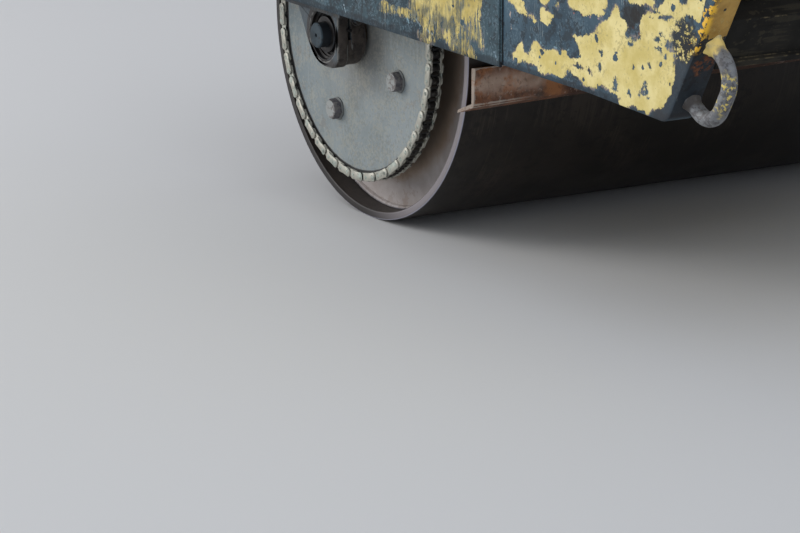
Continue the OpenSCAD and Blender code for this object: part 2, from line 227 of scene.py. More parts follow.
def arc(centre: Sequence[float], radius: float, start: float, stop: float, count: int) -> Array:
    """Gives points along an arc.

    Args:
        centre: its centre.
        radius: its radius.
        start: first angle in degrees.
        stop: last angle in degrees.
        count: number of points.

    Returns:
        The points (count, 2): the centre plus the polar point at evenly spaced angles.
    """
    return np.asarray(centre) + polar(radius, np.radians(np.linspace(start, stop, count)))


def at_y(points: Array, y: float) -> Array:
    """Sets points of x and z at a place along the axle."""
    return np.insert(points, 1, y, axis=1)


def box_outline(x0: float, x1: float, z0: float, z1: float) -> Array:
    """Gives the four corners of a rectangle, anticlockwise."""
    return np.array([[x0, z0], [x1, z0], [x1, z1], [x0, z1]])


def mm(*numbers: float) -> Array:
    """Gives plane points in metres from their numbers in millimetres, two for each."""
    return np.reshape(numbers, (-1, 2)) * MM


def lengths_along(points: Array) -> Array:
    """Gives how far along its line each point stands."""
    return np.concatenate([[0], np.cumsum(np.linalg.norm(np.diff(points, axis=0), axis=1))])


def dense(outline: Array, step: float) -> Array:
    """Adds points along the edges of a closed outline, so that none are further apart.

    Args:
        outline: corners (n, 2).
        step: greatest distance between points.

    Returns:
        The corners and the points between them.
    """
    closed = np.concatenate([outline, outline[:1]])
    reach = lengths_along(closed)
    s = np.arange(0, reach[-1], step)
    s = s[np.abs(s[:, None] - reach[None]).min(1) > step * 0.3]
    s = np.union1d(s, reach[:-1])
    return np.stack([np.interp(s, reach, closed[:, k]) for k in range(2)], 1)


def hole_for(outline: Array, radius: float) -> Array:
    """Gives a round hole about the axle with one point for each point of an outline."""
    return polar(radius, np.arctan2(outline[:, 1], outline[:, 0]))


def depth_inside(points: Array, polygons: Sequence[Sequence[float]]) -> Array:
    """Measures how far points lie inside the union of some polygons.

    The value is the distance to the nearest edge, positive where a ray towards +x crosses an
    odd number of edges, and the greatest over all polygons.

    Args:
        points: (n, 2).
        polygons: for each one, x and z of its corners in turn, in millimetres.

    Returns:
        The depth for each point in metres.
    """
    best = np.full(len(points), -1)  # metres, further outside than any patch reaches
    for polygon in polygons:
        a = mm(*polygon)
        b = np.roll(a, -1, 0)
        way, p = b - a, points[:, None] - a
        t = np.clip((p * way).sum(2) / (way * way).sum(1), 0, 1)
        near = np.linalg.norm(p - t[..., None] * way, axis=2).min(1)
        above = (a[:, 1] > points[:, None, 1]) != (b[:, 1] > points[:, None, 1])
        rise = np.where(way[:, 1] == 0, 1e-9, way[:, 1])
        left = points[:, None, 0] < way[:, 0] * p[..., 1] / rise + a[:, 0]
        inside = (above & left).sum(1) % 2 == 1
        best = np.maximum(best, np.where(inside, near, -near))
    return best


def basis(direction: Sequence[float]) -> Array:
    """Gives three unit vectors as rows, the last along a direction."""
    w = np.asarray(direction, float) / np.linalg.norm(direction)
    helper = np.array([0, 0, 1]) if abs(w[2]) < 0.9 else np.array([1, 0, 0])
    u = np.cross(helper, w)
    u /= np.linalg.norm(u)
    return np.stack([u, np.cross(w, u), w])


def facing(direction: Sequence[float], spin: float = 0) -> Array:
    """Gives the turn that takes +z to a direction, after a spin about it.

    Args:
        direction: where +z goes.
        spin: angle in radians.

    Returns:
        A 3 by 3 matrix for row vectors.
    """
    u, v, w = basis(direction)
    return np.stack([cos(spin) * u + sin(spin) * v, cos(spin) * v - sin(spin) * u, w])


def placed(name: str, data: bpy.types.ID) -> bpy.types.Object:
    """Makes an object of a mesh, lamp or camera and links it to the scene."""
    piece = bpy.data.objects.new(name, data)
    bpy.context.scene.collection.objects.link(piece)
    return piece


@dataclass
class Shell:
    """Surfaces that become one mesh: points, faces and a wear value for each point."""

    points: list = field(default_factory=list)
    faces: list = field(default_factory=list)
    wear: list = field(default_factory=list)
    count: int = 0

    def add(self, points: Array, faces: list, wear: Array | float = 0) -> "Shell":
        """Adds one surface.

        Args:
            points: (n, 3) from the axle.
            faces: lists of point numbers.
            wear: edge wear for each point, or one value.

        Returns:
            The shell itself.
        """
        points = np.asarray(points, float).reshape(-1, 3)
        self.faces += [[i + self.count for i in face] for face in faces]
        self.points.append(points)
        self.wear.append(np.broadcast_to(wear, len(points)))
        self.count += len(points)
        return self

    def loft(self, rings: Array, wear: Array | float = 0, joined: bool = False,
             capped: bool = True) -> "Shell":
        """Adds a skin over closed rings of points.

        Args:
            rings: (m, n, 3), m rings of n points.
            wear: (m, n) values or one value.
            joined: whether the last ring meets the first.
            capped: whether the first and last ring are closed by a face.

        Returns:
            The shell itself.
        """
        m, n = rings.shape[:2]
        i, j = np.arange(m if joined else m - 1)[:, None], np.arange(n)[None, :]
        i2, j2 = (i + 1) % m, (j + 1) % n
        quads = np.stack(np.broadcast_arrays(i * n + j, i * n + j2, i2 * n + j2, i2 * n + j), -1)
        faces = quads.reshape(-1, 4).tolist()
        if capped and not joined:
            faces += [list(range(n))[::-1], list(range((m - 1) * n, m * n))]
        return self.add(rings, faces, np.broadcast_to(wear, (m, n)).reshape(-1))

    def plate(self, outline: Array, y: float, t: float, edge: float = 0.0015,
              corner: float = 0, band: float = 0.006, hole: Array | None = None,
              plain: bool = False) -> "Shell":
        """Adds a plate or beam: an outline in x and z, carried along y, with rounded edges.

        Args:
            outline: corners (n, 2), anticlockwise.
            y: where it starts.
            t: its thickness towards +y.
            edge: radius of the edges at both faces.
            corner: radius of the outline's corners.
            band: width of the worn strip along each edge.
            hole: an inner outline with as many corners, which leaves an opening.
            plain: whether it has just one bevel at each edge, for small repeated plates.

        Returns:
            The shell itself.
        """
        band = min(band, max(0.0002, t / 2 - edge - 0.0002))
        lift = edge * (1 - sqrt(0.5))
        steps = np.array([[edge + band, 0, 0], [edge, 0, 1], [lift, lift, 1],
                          [0, edge, 1], [0, edge + band, 0]])
        steps = steps[[1, 3]] if plain else steps
        steps = np.concatenate([steps, (steps * [1, -1, 1] + [0, t, 0])[::-1]])
        skins = []
        for line, way in ((outline, 1), (hole, -1)):
            if line is None:
                continue
            for depth, along, worn in steps[::way]:
                radius = max(corner - depth, 0.0004) if corner > 0 else 0
                ring, wear = rounded(inset(line, way * depth), radius, band if corner > 0 else 0)
                skins.append((at_y(ring, y + along), np.maximum(wear, worn)))
        rings, wears = (np.array(values) for values in zip(*skins))
        return self.loft(rings, wears, joined=hole is not None)

    def turned(self, profile: Array, steps: int = 64, origin: Sequence[float] = (0, 0, 0),
               axis: Sequence[float] = (0, 1, 0), edge: float = 0, band: float = 0.004,
               closed: bool = True) -> "Shell":
        """Adds a turned shape: each profile point (r, h) goes round the axis at height h.

        Args:
            profile: (n, 2) radius and height, a closed outline or an open line between poles.
            steps: number of places round the axis.
            origin: where height is 0.
            axis: direction of the axis.
            edge: radius of the profile's corners, where it is closed.
            band: width of the worn strip beside them.
            closed: whether the profile is closed.

        Returns:
            The shell itself.
        """
        profile = np.asarray(profile, float)
        worn = np.zeros(len(profile))
        if closed and edge > 0:
            profile, worn = rounded(profile, edge, band)
        u, v, w = basis(axis)
        t = around(steps)[None, :, None]
        r, h = profile[:, 0][:, None, None], profile[:, 1][:, None, None]
        rings = np.asarray(origin) + r * np.cos(t) * u + r * np.sin(t) * v + h * w
        return self.loft(rings, np.repeat(worn[:, None], steps, 1), joined=closed, capped=False)

    def tube(self, path: Array, radius: float | Array, sides: int = 16,
             up: Sequence[float] = (0, 1, 0)) -> "Shell":
        """Adds a round bar along a path, closed at both ends.

        Each ring stands square to the path, and `up` gives where its angle starts.

        Args:
            path: (k, 3) points.
            radius: one radius, or one for each point.
            sides: number of sides.
            up: a direction that the path never takes.

        Returns:
            The shell itself.
        """
        along = np.gradient(path, axis=0)
        along /= np.linalg.norm(along, axis=1, keepdims=True)
        side = np.cross(along, up)
        side /= np.linalg.norm(side, axis=1, keepdims=True)
        top = np.cross(side, along)
        t = around(sides)[None, :, None]
        r = np.broadcast_to(radius, len(path))[:, None, None]
        return self.loft(path[:, None] + r * (np.cos(t) * side[:, None] + np.sin(t) * top[:, None]))

    def weld(self, path: Array, radius: float, pitch: float = 0.006, seed: int = 1,
             up: Sequence[float] = (0.3, 0.5, 0.81)) -> "Shell":
        """Adds a weld bead: a bar whose radius swells with each ripple.

        Radius = base times (0.86 + 0.14 |sin(pi s / pitch)| + noise), s the length along it.

        Args:
            path: (k, 3) corners of its way.
            radius: base radius.
            pitch: distance between ripples.
            seed: number that picks the noise.
            up: a direction that the way never takes.

        Returns:
            The shell itself.
        """
        reach = lengths_along(path)
        s = np.linspace(0, reach[-1], max(8, int(reach[-1] / pitch * 4)))
        fine = np.stack([np.interp(s, reach, path[:, k]) for k in range(3)], 1)
        noise = np.random.default_rng(seed).normal(0, 0.05, len(s))
        swell = 0.86 + 0.14 * np.abs(np.sin(pi * s / pitch)) + noise
        swell[[0, -1]] *= 0.4
        return self.tube(fine, radius * swell, 8, up)

    def copies(self, part: "Shell", places: Array, turns: Array | None = None) -> "Shell":
        """Adds copies of another shell.

        Args:
            part: the shell to repeat.
            places: (k, 3) where each copy's own zero goes.
            turns: (k, 3, 3) its rotation, as a matrix for row vectors.

        Returns:
            The shell itself.
        """
        points, wear = np.concatenate(part.points), np.concatenate(part.wear)
        if turns is None:
            turns = np.repeat(np.eye(3)[None], len(places), 0)
        for copy in np.einsum("nj,kji->kni", points, turns) + np.asarray(places)[:, None]:
            self.add(copy, part.faces, wear)
        return self

    def bolts(self, places: Sequence, direction: Sequence[float], across: float, head: float,
              washer_r: float = 0) -> "Shell":
        """Adds bolt heads on a face, each turned differently.

        Args:
            places: (k, 3) centres on the face.
            direction: out of the face.
            across: width across flats.
            head: height of the head over its washer.
            washer_r: radius of the washer.

        Returns:
            The shell itself.
        """
        turns = np.array([facing(direction, 0.35 + 1.9 * k) for k in range(len(places))])
        return self.copies(hex_bolt(across, head, washer_r), places, turns)

    def flipped(self, axis: int) -> "Shell":
        """Gives the same shell with one axis turned about: y or x for the other side."""
        signs = np.where(np.arange(3) == axis, -1, 1)
        return Shell([p * signs for p in self.points], list(self.faces), list(self.wear),
                     self.count)

    def build(self, name: str, finish: Material, slot: str,
              replaces: Sequence[str] = (), body: Body = Body.CHASSIS, sharp: float = 38,
              paint: Callable[[Array], Array] | None = None) -> None:
        """Makes the mesh, joins its doubles, turns its faces outwards and puts it on a body.

        Args:
            name: name of the piece.
            finish: its material.
            slot: the record's material slot; not used.
            replaces: CAD nodes that it stands for.
            body: the body that it rides on.
            sharp: angle in degrees above which an edge stays sharp.
            paint: gives the depth inside the painted patches at each point, in metres.
        """
        mesh = bpy.data.meshes.new(name)
        points = np.concatenate(self.points)
        mesh.from_pydata((points + AXLE).tolist(), [], self.faces)
        values = {"wear": np.concatenate(self.wear)}
        if paint:
            values["paint"] = paint(points)
        for key, value in values.items():
            layer = mesh.attributes.new(key, "FLOAT", "POINT")
            layer.data.foreach_set("value", value.astype(np.float32))
        tidy = bmesh.new()
        tidy.from_mesh(mesh)
        bmesh.ops.remove_doubles(tidy, verts=tidy.verts, dist=2e-6)
        bmesh.ops.recalc_face_normals(tidy, faces=tidy.faces)
        tidy.to_mesh(mesh)
        tidy.free()
        mesh.shade_smooth()
        mesh.set_sharp_from_angle(angle=radians(sharp))
        mesh.materials.append(finish)
        piece = placed(name, mesh)
        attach(piece, body.value)
        if replaces:
            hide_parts(*replaces)
        log.info("%s: %d faces on %s", name, len(mesh.polygons), body.value)

    def build_pair(self, name: str, finish: Material, slot: str, node: str = "",
                   **more) -> None:
        """Builds the shell on the drive side and its mirror image on the plain side.

        Args:
            name: name of the pieces, with {} for the side.
            finish: their material.
            slot: the record's material slot.
            node: the CAD nodes that they stand for, with {} for the side.
            more: what else `build` takes.
        """
        for side in Side:
            word = side.name.lower()
            shell = self if side is Side.DRIVE else self.flipped(Y)
            shell.build(name.format(word), finish, slot, [node.format(word)] if node else (),
                        **more)


def hex_bolt(across: float, head: float, washer_r: float = 0) -> Shell:
    """Makes a bolt head or nut that stands on z = 0 and points along +z.

    The radius at an angle is half the width across flats over the cosine of the angle from the
    middle of its flat, and near the top it is held to a circle, which gives the chamfer.

    Args:
        across: width across flats.
        head: height of the head.
        washer_r: radius of a washer below it, or 0.

    Returns:
        The shell.
    """
    part = Shell()
    base = WASHER_T if washer_r else 0
    t = around(36)
    flat = across / 2 / np.cos(np.mod(t, pi / 3) - pi / 6)
    top = across / 2 * 1.06
    rings = [np.insert(polar(np.minimum(flat, cap * top), t), 2, base + h, axis=1)
             for h, cap in ((0, 9), (head * 0.86, 9), (head, 0.94), (head, 0.7))]
    part.loft(np.array(rings), np.array([0, 0.7, 1, 0])[:, None])
    if washer_r:
        part.turned(box_outline(0.001, washer_r, 0, WASHER_T), 32, axis=(0, 0, 1), edge=0.0006,
                    band=0.001)
    return part


# Finishes


def linear(colour: Colour) -> tuple:
    """Turns a colour as seen on screen, 0 to 255, into the linear values that shaders take."""
    c = np.array(colour) / 255
    return (*np.where(c <= 0.04045, c / 12.92, ((c + 0.055) / 1.055) ** 2.4).tolist(), 1)


class Graph:
    """Adds nodes to one tree; inputs are numbers, colours or sockets."""

    def __init__(self, tree: Tree) -> None:
        """Keeps the tree."""
        self.tree = tree

    def node(self, kind: str, inputs: dict, out: int | str = 0, **settings) -> Socket:
        """Adds a node.

        Args:
            kind: its type without the leading ShaderNode.
            inputs: value or socket for each input, by name or number.
            out: which output to give back.
            settings: its properties.

        Returns:
            The output.
        """
        node = self.tree.nodes.new("ShaderNode" + kind)
        for key, value in settings.items():
            setattr(node, key, value)
        for key, value in inputs.items():
            if isinstance(value, Socket):
                self.tree.links.new(value, node.inputs[key])
            else:
                node.inputs[key].default_value = value
        return node.outputs[out]

    def math(self, kind: str, a: float | Socket, b: float | Socket = 0) -> Socket:
        """Adds a calculation on two numbers."""
        return self.node("Math", {0: a, 1: b}, operation=kind)

    def plus(self, a: float | Socket, b: float | Socket) -> Socket:
        """Adds two numbers."""
        return self.math("ADD", a, b)

    def minus(self, a: float | Socket, b: float | Socket) -> Socket:
        """Takes one number from another."""
        return self.math("SUBTRACT", a, b)

    def times(self, first: float | Socket, *others: float | Socket) -> Socket:
        """Multiplies numbers or masks."""
        for other in others:
            first = self.math("MULTIPLY", first, other)
        return first

    def vector(self, kind: str, a: Socket, b: tuple | Socket, out: int | str = 0) -> Socket:
        """Adds a calculation on two vectors."""
        return self.node("VectorMath", {0: a, 1: b}, out, operation=kind)

    def stretch(self, at: Socket, factors: tuple | Socket) -> Socket:
        """Scales a vector along each axis."""
        return self.vector("MULTIPLY", at, factors)

    def part(self, vector: Socket, index: int) -> Socket:
        """Takes x, y or z out of a vector."""
        return self.node("SeparateXYZ", {0: vector}, index)

    def step(self, value: Socket, low: float | Socket, high: float | Socket) -> Socket:
        """Rises smoothly from 0 at low to 1 at high, or falls where low is greater."""
        return self.node("MapRange", {"Value": value, "From Min": low, "From Max": high},
                         interpolation_type="SMOOTHSTEP")

    def mix(self, mask: float | Socket, a: tuple | Socket, b: tuple | Socket) -> Socket:
        """Mixes two colours."""
        return self.node("Mix", {0: mask, 6: a, 7: b}, 2, data_type="RGBA")

    def clouded(self, mask: Socket, dark: Colour, light: Colour) -> Socket:
        """Mixes two colours that are given as seen on screen."""
        return self.mix(mask, linear(dark), linear(light))

    def blend(self, mask: float | Socket, a: float | Socket, b: float | Socket) -> Socket:
        """Mixes two numbers."""
        return self.node("Mix", {0: mask, 2: a, 3: b}, 0)

    def noise(self, at: Socket, scale: float | Socket, detail: float = 3,
              rough: float = 0.55) -> Socket:
        """Adds a noise of a number of features per metre."""
        return self.node("TexNoise", {"Vector": at, "Scale": scale, "Detail": detail,
                                      "Roughness": rough})

    def attribute(self, name: str) -> Socket:
        """Reads a number kept at the mesh's points."""
        return self.node("Attribute", {}, "Fac", attribute_name=name)


class Effects:
    """Node groups that several finishes share."""

    def __init__(self) -> None:
        """Builds each group once."""
        self.wear = self._wear()
        self.film = self._film()
        self.streaks = self._streaks()
        self.specks = self._specks()
        self.dust = self._dust()
        self.rust = self._rust()
        self.stroke = self._stroke()

    @staticmethod
    def _start(name: str, **inputs: float | tuple) -> tuple:
        """Starts a group.

        Args:
            name: its name.
            inputs: default value for each input besides the place; a tuple makes a vector.

        Returns:
            The graph, the place's socket and the socket of each input.
        """
        tree = bpy.data.node_groups.new(name, "ShaderNodeTree")
        for key, value in {"Vector": (0, 0, 0), **inputs}.items():
            kind = "NodeSocketVector" if isinstance(value, tuple) else "NodeSocketFloat"
            tree.interface.new_socket(key, in_out="INPUT", socket_type=kind).default_value = value
        return Graph(tree), *tree.nodes.new("NodeGroupInput").outputs[:-1]

    @staticmethod
    def _close(g: Graph, **results: Socket) -> Tree:
        """Closes a group; Color is a colour and the other results are numbers."""
        for key in results:
            kind = "NodeSocketColor" if key == "Color" else "NodeSocketFloat"
            g.tree.interface.new_socket(key, in_out="OUTPUT", socket_type=kind)
        leave = g.tree.nodes.new("NodeGroupOutput")
        for key, result in results.items():
            g.tree.links.new(result, leave.inputs[key])
        return g.tree

    def _wear(self) -> Tree:
        """Bare edges: the wear attribute, broken up by noise."""
        g, at, amount, scale = self._start("worn edges", Amount=0.5, Scale=45)
        noise = g.noise(at, scale, 5, 0.65)
        low = g.minus(2.1, amount)
        field = g.plus(g.attribute("wear"), g.times(noise, 1.6))
        return self._close(g, Mask=g.step(field, low, g.plus(low, 0.22)))

    def _film(self) -> Tree:
        """Torn paint: the paint attribute plus a level, with ragged edges and small chips."""
        g, at, level, ragged, chips, scratched = self._start(
            "torn paint", Level=0, Ragged=0.012, Chips=1, Scratched=0)
        pull = g.node("TexNoise", {"Vector": at, "Scale": 60}, "Color")
        place = g.vector("ADD", at, g.stretch(pull, (0.012,) * 3))
        wave = g.minus(g.noise(place, 24, 8, 0.66), 0.5)
        fine = g.minus(g.noise(place, 170, 3, 0.6), 0.5)
        field = g.plus(g.attribute("paint"), level)
        field = g.plus(field, g.times(wave, g.times(ragged, 4)))
        field = g.plus(field, g.times(fine, ragged))
        cell = {"Vector": place, "Scale": 34, "Randomness": 1}
        spot = g.plus(g.node("TexVoronoi", cell, "Distance"), g.times(fine, 0.25))
        size = g.times(g.part(g.node("TexVoronoi", cell, "Color"), 0), 0.26)
        hole = g.times(g.step(spot, size, g.minus(size, 0.04)), chips)
        lines = g.noise(g.stretch(place, (230, 230, 9)), 1, 4, 0.7)
        cut = g.times(g.step(lines, 0.48, 0.62), scratched)
        field = g.minus(g.minus(field, g.times(hole, 0.06)), cut)
        return self._close(g, Mask=g.step(field, 0, 0.0012),
                           Rim=g.step(g.math("ABSOLUTE", field), 0.0035, 0))

    def _streaks(self) -> Tree:
        """Thin lines along the axis whose factor is small, gathered in places."""
        g, at, stretch, cover = self._start("streaks", Stretch=(200, 200, 8), Cover=0.4)
        lines = g.noise(g.stretch(at, stretch), 1, 3, 0.7)
        places = g.noise(at, 9, 4, 0.6)
        low = g.minus(1.28, g.times(cover, 0.5))
        return self._close(g, Mask=g.step(g.plus(lines, places), low, g.plus(low, 0.09)))

    def _specks(self) -> Tree:
        """Small irregular spots: two noises that both have to be high."""
        g, at, scale, cover = self._start("specks", Scale=120, Cover=0.3)
        fine = g.noise(at, scale, 4, 0.6)
        wide = g.noise(at, g.times(scale, 0.13), 3, 0.6)
        low = g.minus(1.02, g.times(cover, 0.4))
        return self._close(g, Mask=g.step(g.plus(fine, g.times(wide, 0.6)), low, g.plus(low, 0.05)))

    def _dust(self) -> Tree:
        """Dust: thick on what faces up, thin and cloudy elsewhere."""
        g, at, amount, normal = self._start("dust", Amount=0.5, Normal=(0, 0, 1))
        up = g.step(g.part(normal, Z), 0.35, 1)
        thin = g.times(g.step(g.noise(at, 17, 6, 0.62), 0.35, 0.75), 0.45)
        return self._close(g, Mask=g.times(g.plus(thin, g.times(up, 0.7)), amount))

    def _rust(self) -> Tree:
        """Rust: colours from near black over red-brown to orange, and its height."""
        g, at, scale = self._start("rust", Scale=30)
        wide = g.noise(at, scale, 8, 0.68)
        fine = g.noise(at, g.times(scale, 7), 4, 0.6)
        field = g.plus(wide, g.times(fine, 0.35))
        colour = g.clouded(g.step(field, 0.5, 0.68), (58, 40, 32), (116, 70, 44))
        colour = g.mix(g.step(field, 0.66, 0.86), colour, linear((158, 104, 68)))
        return self._close(g, Color=colour, Height=field)

    def _stroke(self) -> Tree:
        """A ragged scuff along a line seen from the side.

        The nearest place on the line is its start plus the share t of its whole length, where t
        is (place - start) times the line's direction over its length squared, from 0 to 1.
        """
        g, at, start, along, reach = self._start(
            "stroke", Start=(0, 0, 0), Along=(0.1, 0, 0), Reach=0.005)
        away = g.vector("SUBTRACT", g.stretch(at, (1, 0, 1)), start)
        dot = g.vector("DOT_PRODUCT", away, along, "Value")
        size = g.vector("DOT_PRODUCT", along, along, "Value")
        share = g.step(g.math("DIVIDE", dot, size), 0, 1)
        foot = g.node("VectorMath", {0: along, "Scale": share}, operation="SCALE")
        noise = g.times(g.noise(at, 120, 5, 0.7), g.times(reach, 2.4))
        field = g.plus(g.vector("DISTANCE", away, foot, "Value"), noise)
        return self._close(g, Mask=g.step(field, g.times(reach, 1.7),
                                          g.times(reach, 1.4)))


class Look:
    """One material, built up in layers on object coordinates measured from the axle."""

    def __init__(self, name: str, effects: Effects, first: Colour, second: Colour,
                 rough: float, scale: float) -> None:
        """Starts with two colours that change places in clouds.

        Args:
            name: name of the material.
            effects: the shared groups.
            first: darker base colour.
            second: lighter base colour.
            rough: base roughness.
            scale: clouds per metre.
        """
        self.material = bpy.data.materials.new(name)
        self.material.use_nodes = True
        self.material.node_tree.nodes.clear()
        self.effects, self.graph = effects, Graph(self.material.node_tree)
        g = self.graph
        place = g.tree.nodes.new("ShaderNodeTexCoord")
        self.normal = place.outputs["Normal"]
        self.at = g.vector("SUBTRACT", place.outputs["Object"], tuple(AXLE))
        cloud = g.step(self.noise(scale, 6, 0.62), 0.36, 0.64)
        self.colour = g.clouded(cloud, first, second)
        self.rough = g.blend(cloud, rough + 0.04, rough - 0.04)
        self.height = g.times(self.noise(380, 2), 0.00012)

    def noise(self, scale: float, detail: float = 3, rough: float = 0.55) -> Socket:
        """Adds a noise at this material's place."""
        return self.graph.noise(self.at, scale, detail, rough)

    def layer(self, mask: Socket, colour: Colour | Socket, rough: float | None = None,
              weight: float = 1, lift: float = 0) -> "Look":
        """Puts a colour over what is there.

        Args:
            mask: where it goes.
            colour: a colour from 0 to 255, or a socket.
            rough: its roughness.
            weight: how much it covers at most.
            lift: how far it stands out, in metres.

        Returns:
            The look itself.
        """
        g = self.graph
        over = colour if isinstance(colour, Socket) else linear(colour)
        cover = g.times(mask, weight) if weight != 1 else mask
        self.colour = g.mix(cover, self.colour, over)
        if rough is not None:
            self.rough = g.blend(cover, self.rough, rough)
        if lift:
            self.height = g.plus(self.height, g.times(mask, lift))
        return self

    def effect(self, name: str, out: str = "Mask", **inputs: float | tuple | Socket) -> Socket:
        """Uses one of the shared groups on this material's place."""
        return self.graph.node("Group", {"Vector": self.at, **inputs}, out,
                               node_tree=getattr(self.effects, name))

    def worn(self, colour: Colour, amount: float) -> "Look":
        """Bares the edges."""
        return self.layer(self.effect("wear", Amount=amount), colour, 0.45)

    def specks(self, colour: Colour, scale: float, cover: float, weight: float = 1) -> "Look":
        """Scatters small spots."""
        return self.layer(self.effect("specks", Scale=scale, Cover=cover), colour, weight=weight)

    def streaks(self, colour: Colour, stretch: tuple, cover: float, weight: float = 0.6) -> "Look":
        """Draws thin lines."""
        mask = self.effect("streaks", Stretch=stretch, Cover=cover)
        return self.layer(mask, colour, weight=weight)

    def dusty(self, colour: Colour, amount: float) -> "Look":
        """Lays dust, more on what faces up."""
        mask = self.effect("dust", Amount=amount, Normal=self.normal)
        return self.layer(mask, colour, 0.85)

    def rusty(self, mask: Socket, scale: float = 30, weight: float = 1) -> "Look":
        """Lays rust, with its own relief."""
        relief = self.graph.times(self.effect("rust", "Height", Scale=scale), mask, 0.0006)
        self.height = self.graph.plus(self.height, relief)
        return self.layer(mask, self.effect("rust", "Color", Scale=scale), 0.85, weight)

    def along(self, index: int) -> Socket:
        """Gives x, y or z from the axle."""
        return self.graph.part(self.at, index)

    def rise(self, index: int, low: float, high: float) -> Socket:
        """Where x, y or z goes from low to high."""
        return self.graph.step(self.along(index), low, high)

    def facing(self, index: int, low: float, high: float) -> Socket:
        """Where the surface's direction along x, y or z rises from low to high."""
        return self.graph.step(self.graph.part(self.normal, index), low, high)

    def sideways(self, low: float, high: float) -> Socket:
        """Where the surface's direction along y, to either side, rises from low to high."""
        g = self.graph
        return g.step(g.math("ABSOLUTE", g.part(self.normal, Y)), low, high)

    def radius(self) -> Socket:
        """Distance from the drum's axis."""
        flat = self.graph.stretch(self.at, (1, 0, 1))
        return self.graph.node("VectorMath", {0: flat}, "Value", operation="LENGTH")

    def near(self, place: Sequence[float], reach: float, y: float = -PLAN.outer_y) -> Socket:
        """A spot about a place given by x and z, ragged at its rim."""
        g = self.graph
        away = g.vector("DISTANCE", self.at, (place[0], y, place[1]), "Value")
        ragged = g.plus(away, g.times(self.noise(70, 4), reach * 0.9))
        return g.step(ragged, reach * 1.35, reach * 0.95)

    def stroke(self, *line: float) -> Socket:
        """A ragged scuff from x and z to x and z, with its reach, in millimetres."""
        x0, z0, x1, z1, reach = (value * MM for value in line)
        return self.effect("stroke", Start=(x0, 0, z0), Along=(x1 - x0, 0, z1 - z0),
                           Reach=reach)

    def done(self, metal: float = 0, specular: float = 0.5) -> Material:
        """Closes the material.

        Args:
            metal: its metallic value.
            specular: its specular level.

        Returns:
            The material.
        """
        g = self.graph
        normal = g.node("Bump", {"Height": self.height, "Strength": 1, "Distance": 1})
        shader = g.node("BsdfPrincipled", {"Base Color": self.colour, "Roughness": self.rough,
                                           "Metallic": metal, "Specular IOR Level": specular,
                                           "Normal": normal})
        out = g.tree.nodes.new("ShaderNodeOutputMaterial")
        g.tree.links.new(shader, out.inputs["Surface"])
        return self.material


# Scuffs and bare holes, each from one place to another: x and z of both from the axle and its
# reach, in millimetres, and then a scuff's colour as seen on screen.
SIDE_STROKES = (
    (733, 186, 742, 137, 6, (200, 178, 162)),
    (948, 199, 1000, 201, 3.5, (176, 92, 74)),
    (1000, 201, 1051, 203, 4, (196, 166, 164)),
    (848, 125, 930, 130, 6, (126, 156, 168)),
    (804, 132, 841, 128, 4, (112, 142, 156)),
    (903, 161, 1035, 173, 5, (52, 52, 58)),
    (1109, 245, 1193, 218, 11, (44, 42, 44)),
    (1135, 205, 1169, 190, 6, (96, 62, 54)),
    (1193, 218, 1306, 249, 6, (46, 45, 44)),
)
SIDE_HOLES = (
    (1119, 191, 1150, 190, 17), (1125, 174, 1132, 174, 13),
    (1174, 114, 1160, 90, 11), (1176, 106, 1183, 89, 11),
    (1084, 103, 1083, 87, 16), (1186, 149, 1189, 144, 10.5),
    (1236, 172, 1236, 168, 9), (1263, 164, 1269, 164, 12),
    (1032, 119, 1034, 114, 12), (1029, 146, 1040, 143, 9),
    (1124, 88, 1127, 86, 12), (1138, 138, 1138, 133, 8),
)
DOUBLER_STROKES = (
    (377, 105, 388, 90, 5, (136, 168, 182)),
    (414, 102, 429, 91, 4, (150, 176, 186)),
    (450, 89, 476, 82, 6, (146, 166, 178)),
    (141, 85, 147, 72, 4, (166, 190, 202)),
    (657, 127, 678, 108, 3.5, (120, 138, 138)),
    (692, 86, 702, 73, 4, (128, 150, 164)),
    (355, 113, 501, 95, 3, (40, 50, 56)),
    (537, 113, 636, 112, 3, (44, 46, 44)),
)


@dataclass(frozen=True)
class PaintJob:
    """How one painted piece has worn."""

    name: str
    level: float = 0
    ragged: float = 0.008
    chips: float = 1
    scratched: float = 0.002
    rubbed: float = 0
    first: Colour = (40, 64, 78)
    second: Colour = (64, 92, 108)
    light: Colour = (240, 224, 156)
    dark: Colour = (214, 194, 112)
    edges: float = 0.15
    dust: float = 0.08
    strokes: tuple = ()
    holes: tuple = ()


# Where the tail's paint is mottled or scuffed: x and z from the axle, and the reach, in metres.
MOTTLED = ((1.285, 0.205, 0.05), (1.218, 0.19, 0.026))
SCUFFED = ((1.125, 0.222, 0.032), (1.15, 0.232, 0.03), (1.288, 0.21, 0.056))


@dataclass(frozen=True)
class PlainFinish:
    """A finish of evenly spread layers, laid in the order of its fields."""

    name: str
    first: Colour
    second: Colour
    rough: float
    scale: float
    specks: tuple
    streaks: tuple = ()
    worn: tuple = ()
    dusty: tuple = ()
    metal: float = 0
    specular: float = 0.5

    def made(self, effects: Effects) -> Material:
        """Makes the material."""
        look = Look(self.name, effects, self.first, self.second, self.rough, self.scale)
        for spots in self.specks:
            look.specks(*spots)
        for kind in ("streaks", "worn", "dusty"):
            if values := getattr(self, kind):
                getattr(look, kind)(*values)
        return look.done(self.metal, self.specular)


